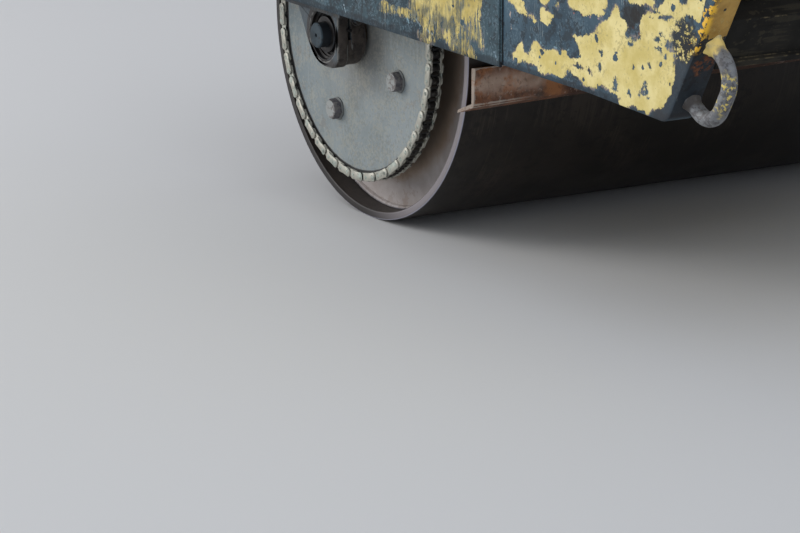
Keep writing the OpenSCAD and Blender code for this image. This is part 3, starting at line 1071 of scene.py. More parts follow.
class Finishes:
    """Every material of the part."""

    def __init__(self) -> None:
        """Builds the shared effects, then the materials."""
        self.effects = Effects()
        self.side = self.paint(PaintJob("side_paint", level=0.003, chips=1.5,
                                        strokes=SIDE_STROKES, holes=SIDE_HOLES))
        self.doubler = self.paint(PaintJob(
            "doubler_paint", level=0.006, scratched=0.014, rubbed=0.8, chips=0.5,
            light=(226, 208, 134), dark=(188, 166, 86), first=(28, 50, 60), second=(50, 76, 86),
            strokes=DOUBLER_STROKES))
        self.frame = self.paint(PaintJob("frame_paint", level=-0.012, first=(46, 48, 50),
                                         second=(66, 68, 68), dust=0.45))
        self.deck = self.paint(PaintJob("deck_paint", level=0.012, light=(226, 204, 130),
                                        dark=(196, 172, 96), dust=0.5))
        self.ring = self.ring_paint()
        self.drum = self.drum_steel()
        self.wheel = self.wheel_paint()
        self.sprocket = self.sprocket_steel()
        self.bolt = self.bolt_steel()
        self.chain = self.chain_steel()
        self.shaft = self.shaft_steel()
        self.cast = self.cast_iron()
        self.rust = self.scraper_rust()
        self.shade, self.grease, self.motor, self.pipe, self.brass = (
            plain.made(self.effects) for plain in (
                # The inner paint is near-black: dark olive paint darkened further as painted shade.
                PlainFinish("inner_paint", (18, 17, 15), (28, 27, 24), 0.75, 11,
                            (((60, 55, 43), 80, 0.3, 0.6),),
                            ((56, 52, 42), (60, 4, 60), 0.4), ((84, 75, 54), 0.3),
                            ((62, 56, 47), 0.15), specular=0.2),
                PlainFinish("grease", (18, 17, 18), (30, 28, 28), 0.5, 50,
                            (((42, 38, 36), 120, 0.35),), worn=((50, 54, 57), 0.3),
                            specular=0.25),
                PlainFinish("motor_paint", (48, 48, 50), (68, 68, 70), 0.4, 12,
                            (((34, 32, 32), 60, 0.5),), ((96, 92, 84), (60, 60, 10), 0.3),
                            ((120, 118, 114), 0.55), ((116, 104, 88), 0.45), 0.2),
                PlainFinish("pipe_steel", (104, 106, 108), (138, 140, 140), 0.45, 40,
                            (((168, 170, 168), 60, 0.5, 0.6), ((116, 84, 60), 40, 0.3)), (),
                            ((170, 170, 168), 0.4), ((150, 138, 120), 0.5), 0.6),
                PlainFinish("nozzle_brass", (140, 108, 56), (176, 142, 80), 0.4, 90,
                            (((84, 70, 48), 200, 0.5),), worn=((206, 176, 110), 0.5),
                            metal=0.8)))

    def look(self, name: str, first: Colour, second: Colour, rough: float, scale: float) -> Look:
        """Starts a material."""
        return Look(name, self.effects, first, second, rough, scale)

    def paint(self, job: PaintJob) -> Material:
        """Dark blue-grey paint with torn yellow paint over it, both darker as painted shade on
        faces towards the tail.

        Args:
            job: its colours and wear.

        Returns:
            The material.
        """
        look = self.look(job.name, job.first, job.second, 0.55, 7)
        g, end, outward = look.graph, look.facing(X, 0.45, 0.75), look.facing(Y, -0.5, -0.9)
        look.streaks((84, 110, 122), (150, 150, 7), 0.36, 0.35)
        look.specks((26, 38, 46), 60, 0.42, 0.7).specks((98, 122, 134), 190, 0.4, 0.5)
        look.streaks((160, 172, 172), (320, 320, 16), 0.2, 0.7)
        foot = g.plus(look.along(Z), g.times(look.noise(26, 4), 0.016))
        look.layer(g.step(foot, PLAN.side_z + 0.021, PLAN.side_z + 0.015), (30, 38, 46), 0.7, 0.6)
        film = {"Level": job.level, "Ragged": job.ragged, "Chips": job.chips,
                "Scratched": job.scratched}
        mask, rim = (look.effect("film", out, **film) for out in ("Mask", "Rim"))
        look.layer(g.times(rim, g.step(look.noise(22), 0.45, 0.6)), (186, 164, 152), 0.7, 0.5)
        # Faces towards the tail (+x) get a near-black base: painted shade.
        look.layer(end, (32, 31, 34), 0.7, 0.85)
        strip = g.times(g.step(self.behind_tail(look), 0.05, 0.034), look.rise(Z, 0.24, 0.2))
        look.layer(g.times(strip, outward), (46, 49, 54), 0.7, 0.75)
        for *line, colour in job.strokes:
            look.layer(g.times(look.stroke(*line), outward), colour, 0.7, 0.85)
        mask = self.still_on(look, job, mask)
        cloud = g.step(look.noise(16, 7, 0.68), 0.34, 0.66)
        # On faces towards the tail (+x) the yellow is a darker ochre copy: painted shade.
        cream = g.mix(end, g.clouded(cloud, job.dark, job.light),
                      g.clouded(cloud, (140, 106, 48), (188, 150, 78)))
        look.layer(mask, cream, 0.5, lift=0.0005)
        speck = g.times(look.effect("specks", Scale=150, Cover=0.3), mask)
        look.layer(speck, (176, 160, 104), weight=0.5)
        for *place, reach in SCUFFED:
            scuff = g.times(look.near(place, reach), g.minus(1, mask))
            look.layer(scuff, (32, 31, 31), 0.7, 0.82)
        look.worn((80, 90, 95), job.edges)
        self.tail_flakes(look)
        spot = g.times(look.near(PLAN.on_tail(0, 0.126), 0.03, 0.028 - PLAN.outer_y), end,
                       g.step(look.noise(90, 4), 0.46, 0.56))
        look.rusty(spot, 60, 0.8)
        return look.dusty((142, 130, 112), job.dust).done(0, 0.25)

    @staticmethod
    def still_on(look: Look, job: PaintJob, mask: Socket) -> Socket:
        """Takes out of a mask where the yellow paint is rubbed thin, torn, mottled or holed.

        Args:
            look: the material.
            job: how its piece has worn.
            mask: where the paint was.

        Returns:
            Where it still is.
        """
        g = look.graph
        if job.rubbed:
            lines = g.noise(g.stretch(look.at, (120, 120, 26)), 1, 5, 0.7)
            field = g.plus(g.plus(lines, look.noise(30, 4)),
                           g.times(look.rise(Z, 0.11, 0.15), 0.1))
            mask = g.minus(mask, g.times(mask, g.step(field, 1.14, 0.9), look.rise(Z, 0.3, 0.24),
                                         job.rubbed))
        mottle = g.step(g.noise(g.stretch(look.at, (1, 1, 1.6)), 70, 5, 0.65), 0.5, 0.47)
        off = [g.times(g.step(look.noise(4.2, 8, 0.6), 0.575, 0.583), look.rise(Z, 0.3, 0.34))]
        off += [g.times(look.near(place, reach), mottle) for *place, reach in MOTTLED]
        for spot in off + [look.stroke(*line) for line in job.holes]:
            mask = g.minus(mask, g.times(spot, mask))
        return mask

    @staticmethod
    def behind_tail(look: Look) -> Socket:
        """Measures how far a place lies behind the leaning end's edge.

        That is (tail x - x + (z - tail z) tan lean) times cos lean.
        """
        g, lean = look.graph, PLAN.tail_lean
        out = g.vector("DOT_PRODUCT", look.at, (cos(lean), 0, -sin(lean)), "Value")
        return g.minus(PLAN.tail_x * cos(lean) - PLAN.tail_z * sin(lean), out)

    def tail_flakes(self, look: Look) -> None:
        """Orange flakes on the outer edge of the leaning end, from the ring's top weld upwards.

        They cover the last 14 mm before the edge where a noise is high.
        """
        g = look.graph
        field = g.minus(look.noise(62, 5, 0.65), g.times(self.behind_tail(look), 6.5))
        side = g.step(g.math("ABSOLUTE", look.along(Y)), PLAN.outer_y - 0.016,
                      PLAN.outer_y - 0.004)
        mask = g.times(g.step(field, 0.47, 0.49), side)
        for ends in ((0.150, 0.166), (0.300, 0.270)):
            mask = g.times(mask, look.rise(Z, *(PLAN.on_tail(0, up)[1] for up in ends)))
        look.layer(mask, (250, 196, 66), 0.5, lift=0.0004)

    def ring_paint(self) -> Material:
        """Grey bar with yellow flecks on its outer side, and painted shade at its foot where it
        meets the end face.
        """
        look = self.look("ring_paint", (104, 106, 110), (136, 139, 141), 0.55, 30)
        look.specks((62, 58, 60), 130, 0.42, 0.6)
        outside, top, foot = (look.near(PLAN.on_tail(out, up), reach, RING_Y) for out, up, reach in
                              ((0.07, 0.124, 0.05), (0, 0.169, 0.036), (0.004, 0.043, 0.03)))
        flecks = look.graph.times(look.effect("specks", Scale=110, Cover=0.5), outside)
        look.layer(flecks, (228, 206, 112), 0.5, lift=0.0003)
        # The dark brown at the foot is painted shade, where the bar meets the end face.
        look.layer(top, (250, 222, 134), 0.6).layer(foot, (64, 57, 52), 0.7, 0.85)
        return look.dusty((150, 140, 120), 0.15).done(0.2)

    def drum_steel(self) -> Material:
        """Dark oiled steel, darkened further as painted shade, with fine lines round the drum and a
        rim whose face and edge carry painted light.
        """
        # The base is darker than the steel itself: painted shade.
        look = self.look("drum_steel", (30, 26, 23), (46, 40, 35), 0.5, 5)
        look.streaks((66, 58, 50), (6, 240, 6), 0.42, 0.5)
        look.specks((26, 22, 20), 60, 0.4, 0.7)
        g, far = look.graph, look.radius()
        # The rim's end face: painted shade on the left, painted light on the right.
        tone = g.clouded(look.rise(X, -0.03, 0.2), (36, 32, 30), (134, 128, 131))
        look.layer(g.times(look.facing(Y, -0.6, -0.9), g.step(far, 0.365, 0.367)), tone, 0.5)
        # Darker towards the plain side: painted shade under the chassis.
        look.layer(look.rise(Y, -0.25, 0.35), (22, 20, 18), 0.6, 0.45)
        # The rim's outer edge: bare worn steel, painted bluish-white as a highlight.
        edge = g.times(look.effect("wear", Amount=1), g.step(far, 0.3785, 0.3795),
                       look.facing(Y, -0.3, -0.5))
        return look.layer(edge, (168, 168, 182), 0.35, 0.85).done(0.2)

    def wheel_paint(self) -> Material:
        """Dusty tan end plate, browner with grease and painted shade towards the chain, and darker
        still in the painted shadow of the disc and chain.
        """
        look = self.look("wheel_paint", (166, 156, 151), (190, 184, 182), 0.7, 8)
        g, far = look.graph, look.radius()
        # Towards the chain: a brown grease stain with painted shade in it, then a darker painted
        # shadow of the disc and chain; both reach less far out towards +x.
        ragged = g.plus(g.plus(far, g.times(look.noise(18, 6), 0.05)),
                        g.times(look.rise(X, 0, 0.28), 0.025))
        look.layer(g.step(ragged, 0.352, 0.318), (160, 130, 100), 0.8, 0.7)
        look.layer(g.step(ragged, 0.33, 0.298), (102, 92, 82), 0.7, 0.6)
        look.specks((140, 120, 104), 75, 0.3, 0.35)
        look.layer(g.step(far, 0.3605, 0.3635), (58, 56, 70), 0.4, 0.85)
        return look.worn((150, 140, 136), 0.5).dusty((180, 170, 162), 0.2).done()

    def sprocket_steel(self) -> Material:
        """Grey-beige dust over the disc, greasy and darker at its middle, with a near-black painted
        shadow of the chain plates just inside its teeth.
        """
        look = self.look("sprocket_steel", (126, 135, 136), (138, 147, 149), 0.75, 6)
        g, far = look.graph, look.radius()
        look.layer(look.rise(X, -0.08, -0.27), (96, 110, 116), 0.75, 0.55)
        ragged = g.plus(far, g.times(look.noise(12, 6), 0.12))
        look.layer(g.step(ragged, 0.25, 0.1), (116, 112, 106), 0.75, 0.7)
        look.streaks((164, 170, 164), (90, 90, 9), 0.4, 0.2)
        look.specks((114, 116, 110), 140, 0.4, 0.4).specks((124, 108, 94), 34, 0.2, 0.25)
        look.specks((160, 158, 144), 210, 0.5, 0.35)
        # A near-black ring just inside the chain plates, wider on the left: painted shadow of the
        # plates on the disc.
        plate_shadow_radius = g.plus(g.plus(far, g.times(look.noise(60, 2), 0.003)),
                      g.times(look.rise(X, -0.1, -0.25), 0.003))
        look.layer(g.step(plate_shadow_radius, PLAN.sprocket_r - 0.0124, PLAN.sprocket_r - 0.0104),
                   (26, 25, 25), 0.4, 0.97)
        return look.layer(look.facing(Z, 0.2, 0.6), (88, 80, 70), 0.8, 0.5).done()

    def bolt_steel(self) -> Material:
        """Bolt heads: brown-grey sides darker as painted shade, and outward faces painted pale as
        light.
        """
        look = self.look("bolt_steel", (80, 78, 82), (98, 95, 98), 0.65, 60)
        # Outward faces (towards -y) are painted pale as light; the darker base on the sides is
        # painted shade.
        look.layer(look.facing(Y, -0.6, -0.9), (156, 160, 157), 0.75, 0.85)
        look.specks((116, 112, 110), 130, 0.5).worn((116, 112, 110), 0.3)
        return look.layer(look.rise(Y, -0.5825, -0.581), (112, 115, 114), 0.75).done(0.1)

    def chain_steel(self) -> Material:
        """Link plates with pale dust outside and black grease between them."""
        look = self.look("chain_steel", (27, 25, 25), (44, 40, 38), 0.4, 40)
        g = look.graph
        away = g.math("ABSOLUTE", g.plus(look.along(Y), PLAN.chain_y))
        plates = g.times(look.sideways(0.55, 0.85), g.step(away, 0.0118, 0.0124))
        cloud = g.step(look.noise(60, 5), 0.3, 0.7)
        look.layer(plates, g.clouded(cloud, (146, 154, 146), (182, 190, 180)), 0.75)
        look.specks((96, 96, 90), 190, 0.45, 0.7)
        return look.worn((172, 170, 158), 0.5).done(0.3)

    def shaft_steel(self) -> Material:
        """Blue-grey shaft end."""
        look = self.look("shaft_steel", (34, 48, 56), (46, 61, 69), 0.6, 40)
        look.specks((34, 40, 44), 150, 0.35).worn((84, 94, 100), 0.35)
        return look.layer(look.facing(Y, -0.5, -0.3), (36, 39, 42), 0.5, 0.9).done(0.1, 0.3)

    def cast_iron(self) -> Material:
        """Bearing block: blue-grey paint in front, near-black low down and near the mouth as
        painted shade, and rough brown casting behind.
        """
        look = self.look("housing_cast", (48, 42, 38), (74, 66, 60), 0.75, 26)
        g, far, face = look.graph, look.radius(), look.sideways(0.5, 0.8)
        look.height = g.plus(look.height, g.times(look.noise(110, 5, 0.6), 0.0025))
        look.specks((34, 29, 27), 80, 0.5, 0.8)
        # The front's blue-grey paint gives way to near-black low down and close round the mouth
        # left of x = 30 mm: painted shade.
        rim = g.math("MAXIMUM", g.step(far, 0.064, 0.068), look.rise(X, 0.03, 0.042))
        tone = g.clouded(g.times(look.rise(Z, -0.055, -0.035), rim), (34, 34, 36), (66, 80, 88))
        look.layer(face, tone, 0.6, 0.85)
        look.layer(g.times(g.step(far, 0.0535, 0.052), face), (32, 30, 31), 0.5, 0.9)
        return look.worn((96, 96, 92), 0.4).dusty((116, 104, 92), 0.2).done()

    def scraper_rust(self) -> Material:
        """Rust with worn grey patches and bare cut edges, darker as painted shade away from the
        drive-side end.
        """
        look = self.look("scraper_rust", (164, 134, 114), (198, 172, 154), 0.75, 14)
        g = look.graph
        patches = g.times(g.step(look.noise(24, 7, 0.66), 0.5, 0.62), look.rise(Y, -0.42, -0.5))
        look.layer(patches, (184, 116, 64), 0.85, 0.7)
        up = g.plus(look.along(Z), g.times(look.noise(16, 5), 0.05))
        look.rusty(g.math("MAXIMUM", g.step(up, -0.02, -0.044), g.step(up, -0.008, 0.014)),
                   26, 0.85)
        look.layer(look.near((0.4085, -0.055), 0.034, -0.372), (176, 118, 74), 0.8, 0.8)
        # Darker from y = -0.36 inwards, all but the drive-side end: painted shade.
        look.layer(look.rise(Y, -0.36, -0.33), (58, 44, 38), 0.8, 0.7)
        look.specks((176, 160, 148), 120, 0.3, 0.5).specks((70, 50, 40), 110, 0.3, 0.35)
        edge = g.times(look.effect("wear", Amount=0.55), look.rise(Y, -0.4, -0.5))
        return look.layer(edge, (190, 178, 164), 0.4, 0.8).done(0.1)


# The part


def wheel_outline(teeth: int, pitch_r: float) -> Array:
    """Works out a toothed wheel: a round seat for each roller, then the two corners of a tip.

    Args:
        teeth: number of teeth.
        pitch_r: radius through the rollers' centres.

    Returns:
        The outline, anticlockwise, with a seat at angle 0.
    """
    a = np.arange(teeth)[:, None] * 2 * pi / teeth
    seat_at = a + pi + np.radians(65) * np.linspace(1, -1, 7)
    seat_r, tip_r = PLAN.roller_r + 0.0005, pitch_r + 0.0075
    seat = polar(pitch_r, a) + polar(seat_r, seat_at)
    tip = polar(tip_r, a + pi / teeth + np.array([-1, 1]) * asin(0.002 / tip_r))
    return np.concatenate([seat, tip], 1).reshape(-1, 2)


@dataclass
class Drum:
    """The turning part: shell, end plates, hubs, shafts, and the sprocket on the drive side."""

    finishes: Finishes
    shell_t: float = 0.016
    plate_t: float = 0.020
    shaft_y: float = 0.669
    collar_y: float = 0.648
    hub_bolts_r: float = 0.102
    disc_bolts_r: float = 0.184

    def __post_init__(self) -> None:
        """Builds every piece of it."""
        self.shell()
        self.ends()
        self.sprocket()

    def shell(self) -> None:
        """Turns the shell: a rectangle of wall and length with rounded rims."""
        section = box_outline(PLAN.drum_r - self.shell_t, PLAN.drum_r, -PLAN.rim_y, PLAN.rim_y)
        part = Shell().turned(section, 256, edge=0.003)
        part.build("drum", self.finishes.drum, "drum_steel", ["drum_shell"], Body.DRUM)

    def ends(self) -> None:
        """Builds both ends: plate with its weld, hub with bolts, shaft and collar."""
        wall, r, out = PLAN.drum_r - self.shell_t, PLAN.shaft_r, -PLAN.plate_y
        inside = out + self.plate_t
        plate = Shell().turned(box_outline(r, wall, out, inside), 160)
        plate.weld(at_y(arc((0, 0), wall - 0.0015, 0, 360, 241), out - 0.001), 0.0065, 0.008, 3,
                   (0, 1, 0))
        disc, flange = -PLAN.disc_y, out - 0.02
        hub = Shell().turned([[r, disc - 0.0138], [0.0449, disc - 0.0138], [0.0449, disc],
                              [0.06, disc], [0.06, flange - 0.01], [0.07, flange], [0.13, flange],
                              [0.13, out], [r, out]], 96, edge=0.0015)
        hub.bolts(at_y(polar(self.hub_bolts_r, around(8) + 0.2), flange), (0, -1, 0), 0.024, 0.011,
                  0.017)
        tip, c = -self.shaft_y, -self.collar_y
        shaft = Shell().turned([[0, tip + 0.009], [0.0022, tip + 0.0085], [0.0035, tip + 0.001],
                                [0.0042, tip], [r - 0.0022, tip], [r, tip + 0.0022],
                                [r, inside], [0, inside]], closed=False)
        collar = Shell().turned(box_outline(r, 0.0365, c, c + 0.01), edge=0.0015)
        steel, wheel = self.finishes.shaft, self.finishes.wheel
        for part, piece, finish, slot in (
                (plate, "end_plate", wheel, "wheel_paint"), (hub, "hub", wheel, "wheel_paint"),
                (shaft, "shaft", steel, "shaft_steel"),
                (collar, "collar", self.finishes.grease, "shaft_steel")):
            part.build_pair(piece + "_of_{}_side", finish, slot, piece + "_{}", body=Body.DRUM)

    def sprocket(self) -> None:
        """Builds the 72-tooth disc with its four bolts and spacers."""
        outline, front = wheel_outline(72, PLAN.sprocket_r), -PLAN.disc_y - PLAN.disc_t
        disc = Shell().plate(outline, front, PLAN.disc_t, 0.0007, band=0.0006,
                             hole=hole_for(outline, 0.045))
        slot, places = "sprocket_steel", polar(self.disc_bolts_r, around(4) - radians(23))
        disc.build("sprocket_disc", self.finishes.sprocket, slot, ["sprocket"], Body.DRUM, 30)
        heads = Shell().bolts(at_y(places, front), (0, -1, 0), 0.036, 0.016, 0.023)
        heads.build("sprocket_bolt_heads", self.finishes.bolt, slot, ["sprocket_bolts"], Body.DRUM,
                    30)
        gap = PLAN.disc_y - PLAN.plate_y
        spacer = Shell().turned(box_outline(0.0102, 0.022, 0, gap), 40, edge=0.001)
        spacers = Shell().copies(spacer, at_y(places, -PLAN.disc_y))
        spacers.build("spacer_tubes", self.finishes.grease, slot, ["sprocket_spacers"], Body.DRUM)


@dataclass
class ChainDrive:
    """What drives the drum: the chain, its pinion and the motor on its plate."""

    finishes: Finishes
    motor_y: float = 0.534
    centre_z: float = float(sum(cad_corners("pinion"))[Z] / 2)

    def __post_init__(self) -> None:
        """Builds every piece of it."""
        self.chain()
        self.pinion()
        self.motor()

    def pins(self) -> Array:
        """Works out the chain's pins in order: round the sprocket, up, over and down.

        Returns:
            x and z of the 84 pins: 49 on the sprocket's pitch circle every 5 degrees, 15
            evenly up the straight run, 5 round the pinion every 30 degrees, and 15 down.
        """
        wrap = arc((0, 0), PLAN.sprocket_r, 30, -210, 49)
        over = arc((0, self.centre_z), PLAN.pinion_r, 150, 30, 5)
        up = wrap[-1] + (over[0] - wrap[-1]) * np.arange(1, 16)[:, None] / 16
        return np.concatenate([wrap, up, over, (up * [-1, 1])[::-1]])

    def chain(self) -> None:
        """Builds the roller chain: waisted plates by turns inside and outside, with rollers."""
        pins = self.pins()
        ahead = np.roll(pins, -1, 0) - pins
        way = ahead / np.linalg.norm(ahead, axis=1, keepdims=True)
        turns = np.stack([at_y(way, 0), np.tile([0, 1, 0], (len(pins), 1)),
                          at_y(way[:, ::-1] * [-1, 1], 0)], 1)
        middle = at_y(pins + ahead / 2, -PLAN.chain_y)
        end = arc((PLAN.pitch / 2, 0), 0.0103, -62, 62, 7)
        waist = np.array([[0.0045, 0.0082], [-0.0045, 0.0082]])
        outline = np.concatenate([end, waist, -end, -waist])
        part = Shell()
        for first, y, t in ((0, 0.0085, 0.004), (1, 0.0126, 0.0033)):
            link = Shell().plate(outline, y, t, 0.0007, plain=True)
            link.copies(link.flipped(Y), [(0, 0, 0)])
            part.copies(link, middle[first::2], turns[first::2])
        r = PLAN.roller_r
        roller = Shell().turned([[0.004, -0.0083], [0.0074, -0.0083], [r, -0.0076], [r, 0.0076],
                                 [0.0074, 0.0083], [0.004, 0.0083]], 16)
        rivet = mm(0, -16.7, 3, -16.6, 4.2, -15.9, 4.2, 15.9, 3, 16.6, 0, 16.7)
        roller.turned(rivet, 10, closed=False)
        part.copies(roller, at_y(pins, -PLAN.chain_y))
        part.build("roller_chain", self.finishes.chain, "chain_steel", ["chain"], sharp=50)

    def pinion(self) -> None:
        """Builds the 12-tooth pinion and its shaft."""
        outline = wheel_outline(12, PLAN.pinion_r)[:, ::-1] * [-1, 1]
        wheel = Shell().plate(outline, -PLAN.disc_y - PLAN.disc_t, PLAN.disc_t, 0.0008, band=0.001,
                              hole=hole_for(outline, 0.01805))
        part = Shell().copies(wheel, [(0, 0, self.centre_z)])
        part.build("pinion_wheel", self.finishes.chain, "sprocket_steel", ["pinion"], sharp=30)
        tip = -PLAN.chain_y - 0.016
        shaft = Shell().turned([[0, tip + 0.004], [0.004, tip], [0.0165, tip],
                                [0.018, tip + 0.0015], [0.018, -self.motor_y],
                                [0, -self.motor_y]], 48, (0, 0, self.centre_z), closed=False)
        shaft.build("pinion_shaft_end", self.finishes.shaft, "shaft_steel", ["pinion_shaft"])

    def motor(self) -> None:
        """Builds the hydraulic motor: flange, ribbed body, cap and port block with two ports."""
        y, z = -self.motor_y, self.centre_z
        section = [[0, 0], [0.065, 0], [0.065, 0.024], [0.054, 0.024], [0.052, 0.03]]
        for rib in np.arange(4) * 0.026 + 0.036:
            section += [[0.052, rib], [0.0495, rib + 0.003], [0.0495, rib + 0.009],
                        [0.052, rib + 0.012]]
        section += [[0.052, 0.147], [0.05, 0.15], [0.042, 0.151], [0.042, 0.196], [0.038, 0.2],
                    [0, 0.2]]
        part = Shell().turned(section, origin=(0, y, z), closed=False)
        part.plate(box_outline(-0.028, 0.028, z, z + 0.062), y + 0.067, 0.056, 0.002, 0.003, 0.004)
        port = Shell().turned(mm(9, -6, 9, 0, 11.5, 0, 11.5, -6), 24, axis=(0, 0, 1))
        part.copies(port, [(x, y + 0.095, z + 0.062) for x in (-0.013, 0.013)])
        for r, count, out, across, head in ((0.058, 6, 0.024, 0.013, 0.008),
                                            (0.032, 4, 0.1985, 0.01, 0.0015)):
            spots = polar(r, around(count) + pi / count) + [0, z]
            part.bolts(at_y(spots, y + out), (0, 1, 0), across, head)
        part.build("drive_motor", self.finishes.motor, "motor_paint", ["motor"])


@dataclass
class Bearings:
    """The two bearing blocks under the side members, with their pads."""

    finishes: Finishes
    depth: float = 0.065
    front_t: float = 0.024
    pad_t: float = 0.012
    pad_reach: float = 0.110
    housing_r: float = 0.058

    def __post_init__(self) -> None:
        """Builds the blocks of both sides."""
        self.top = PLAN.side_z - self.pad_t
        self.front, self.back = -PLAN.block_y - self.depth, -PLAN.block_y
        self.housing()
        self.fittings()
        self.pad()

    def fullness(self, angle: Array) -> Array:
        """Gives the housing's radius at an angle: up to 6.5 mm more towards its bottom."""
        return self.housing_r + 0.0065 * np.clip(-np.sin(angle), 0, 1) ** 0.5

    def throat(self, outline: Array, y: float) -> Array:
        """Works out the rings that carry the front plate's lower outline into the housing.

        At a share t of the 24 mm way, the radius at an angle is the plate's times (1 - s) plus
        the housing's times s, with s = t squared times (3 - 2 t).

        Args:
            outline: the plate's outline, anticlockwise.
            y: where the plate ends.

        Returns:
            The rings (stations, points, 3).
        """
        a = np.radians(np.linspace(186, 354, 57))
        angle = np.mod(np.arctan2(outline[:, 1], outline[:, 0]), 2 * pi)
        order = np.argsort(angle)
        plate = np.interp(a, angle[order], np.linalg.norm(outline, axis=1)[order]) - 0.002
        t = np.linspace(0, 1, 9)
        s = (t * t * (3 - 2 * t))[:, None]
        ring = polar(plate * (1 - s) + (self.fullness(a) - 0.0006) * s, a[None])
        depth = np.broadcast_to((y + 0.024 * t)[:, None], ring.shape[:2])
        return np.stack([ring[..., 0], depth, ring[..., 1]], -1)

    def housing(self) -> None:
        """Builds the front plate with its mouth, the neck and the round housing behind it."""
        front, top = self.front, self.top
        corners = mm(-99, 52, -99, 40, -60, -25, -22, -58, 0, -63, 30, -63, 49, -58, 59, -44, 59,
                     52)
        outline = dense(rounded(corners, 0.006)[0], 0.006)
        part = Shell().plate(outline, front, self.front_t, 0.0025, band=0.004,
                             hole=hole_for(outline, 0.053))
        neck = np.concatenate([[[0.045, -0.004], [0.045, top], [-0.045, top], [-0.045, -0.004]],
                               arc((0, 0), self.housing_r, 184, 356, 25)])
        part.plate(neck, front + 0.0235, 0.008, 0.0005, band=0.0005)
        a = np.radians(np.linspace(153.7, 386.3, 49))
        body = np.concatenate([[[0.052, top], [-0.052, top]], polar(self.fullness(a), a)])
        part.plate(body, front + 0.031, self.back - front - 0.031, 0.003, band=0.004)
        part.loft(self.throat(outline, front + 0.0232))
        part.bolts([(0.0515, self.back - 0.018, 0.034)], (1, 0, 0), 0.017, 0.009, 0.0125)
        part.build_pair("bearing_housing_{}", self.finishes.cast, "housing_cast",
                        "bearing_block_{}")

    def fittings(self) -> None:
        """Builds the rings in the mouth and a grease nipple."""
        mouth = mm(53.1, 4, 53.1, 0, 49.5, 0.5, 49.5, 8, 44.5, 8.5, 44.5, 12.5, 41, 13, 41, 18.5,
                   26.5, 19, 26.5, 22.5, 53.1, 22.5)
        seal = Shell().turned(mouth + [0, self.front + 0.001], 72, edge=0.0005, band=0)
        seal.build_pair("bearing_seal_{}", self.finishes.grease, "housing_cast")
        nipple = Shell().turned(mm(0, 0, 4, 0, 4, 6, 2.5, 8, 3.5, 11, 3, 14, 0, 15), 16,
                                (0.0565, self.back - 0.042, 0.016), (1, 0, 0.1), closed=False)
        nipple.build_pair("grease_nipple_{}", self.finishes.grease, "housing_cast")

    def pad(self) -> None:
        """Builds the pad between block and side member, with a bolt at each end."""
        reach, y = self.pad_reach, 0.001 - PLAN.outer_y
        pad = Shell().plate(box_outline(-reach, reach, self.top, PLAN.side_z), y, self.back - y,
                            0.0015, 0.002, 0.004)
        for x in (-0.094, 0.094):
            pad.bolts([(x, self.back - 0.03, self.top)], (0, 0, -1), 0.019, 0.01, 0.015)
        pad.build_pair("bearing_seat_{}", self.finishes.frame, "housing_cast", "bearing_pad_{}")


@dataclass(frozen=True)
class Patches:
    """Painted patches on a plate: x and z of their corners from the axle, in millimetres."""

    solid: list
    sparse: list
    holes: list

    def depth(self, points: Array) -> Array:
        """Measures how far points lie inside the patches.

        It is the greater of the depth in the solid ones and that in the sparse ones, the latter
        at most -1 mm, so that just their noise shows, and never more than the distance to a hole.

        Args:
            points: (n, 3) from the axle.

        Returns:
            The depth in metres.
        """
        flat = points[:, [0, 2]]
        best = np.maximum(depth_inside(flat, self.solid),
                          np.minimum(depth_inside(flat, self.sparse), -0.001))
        return np.minimum(best, -depth_inside(flat, self.holes))


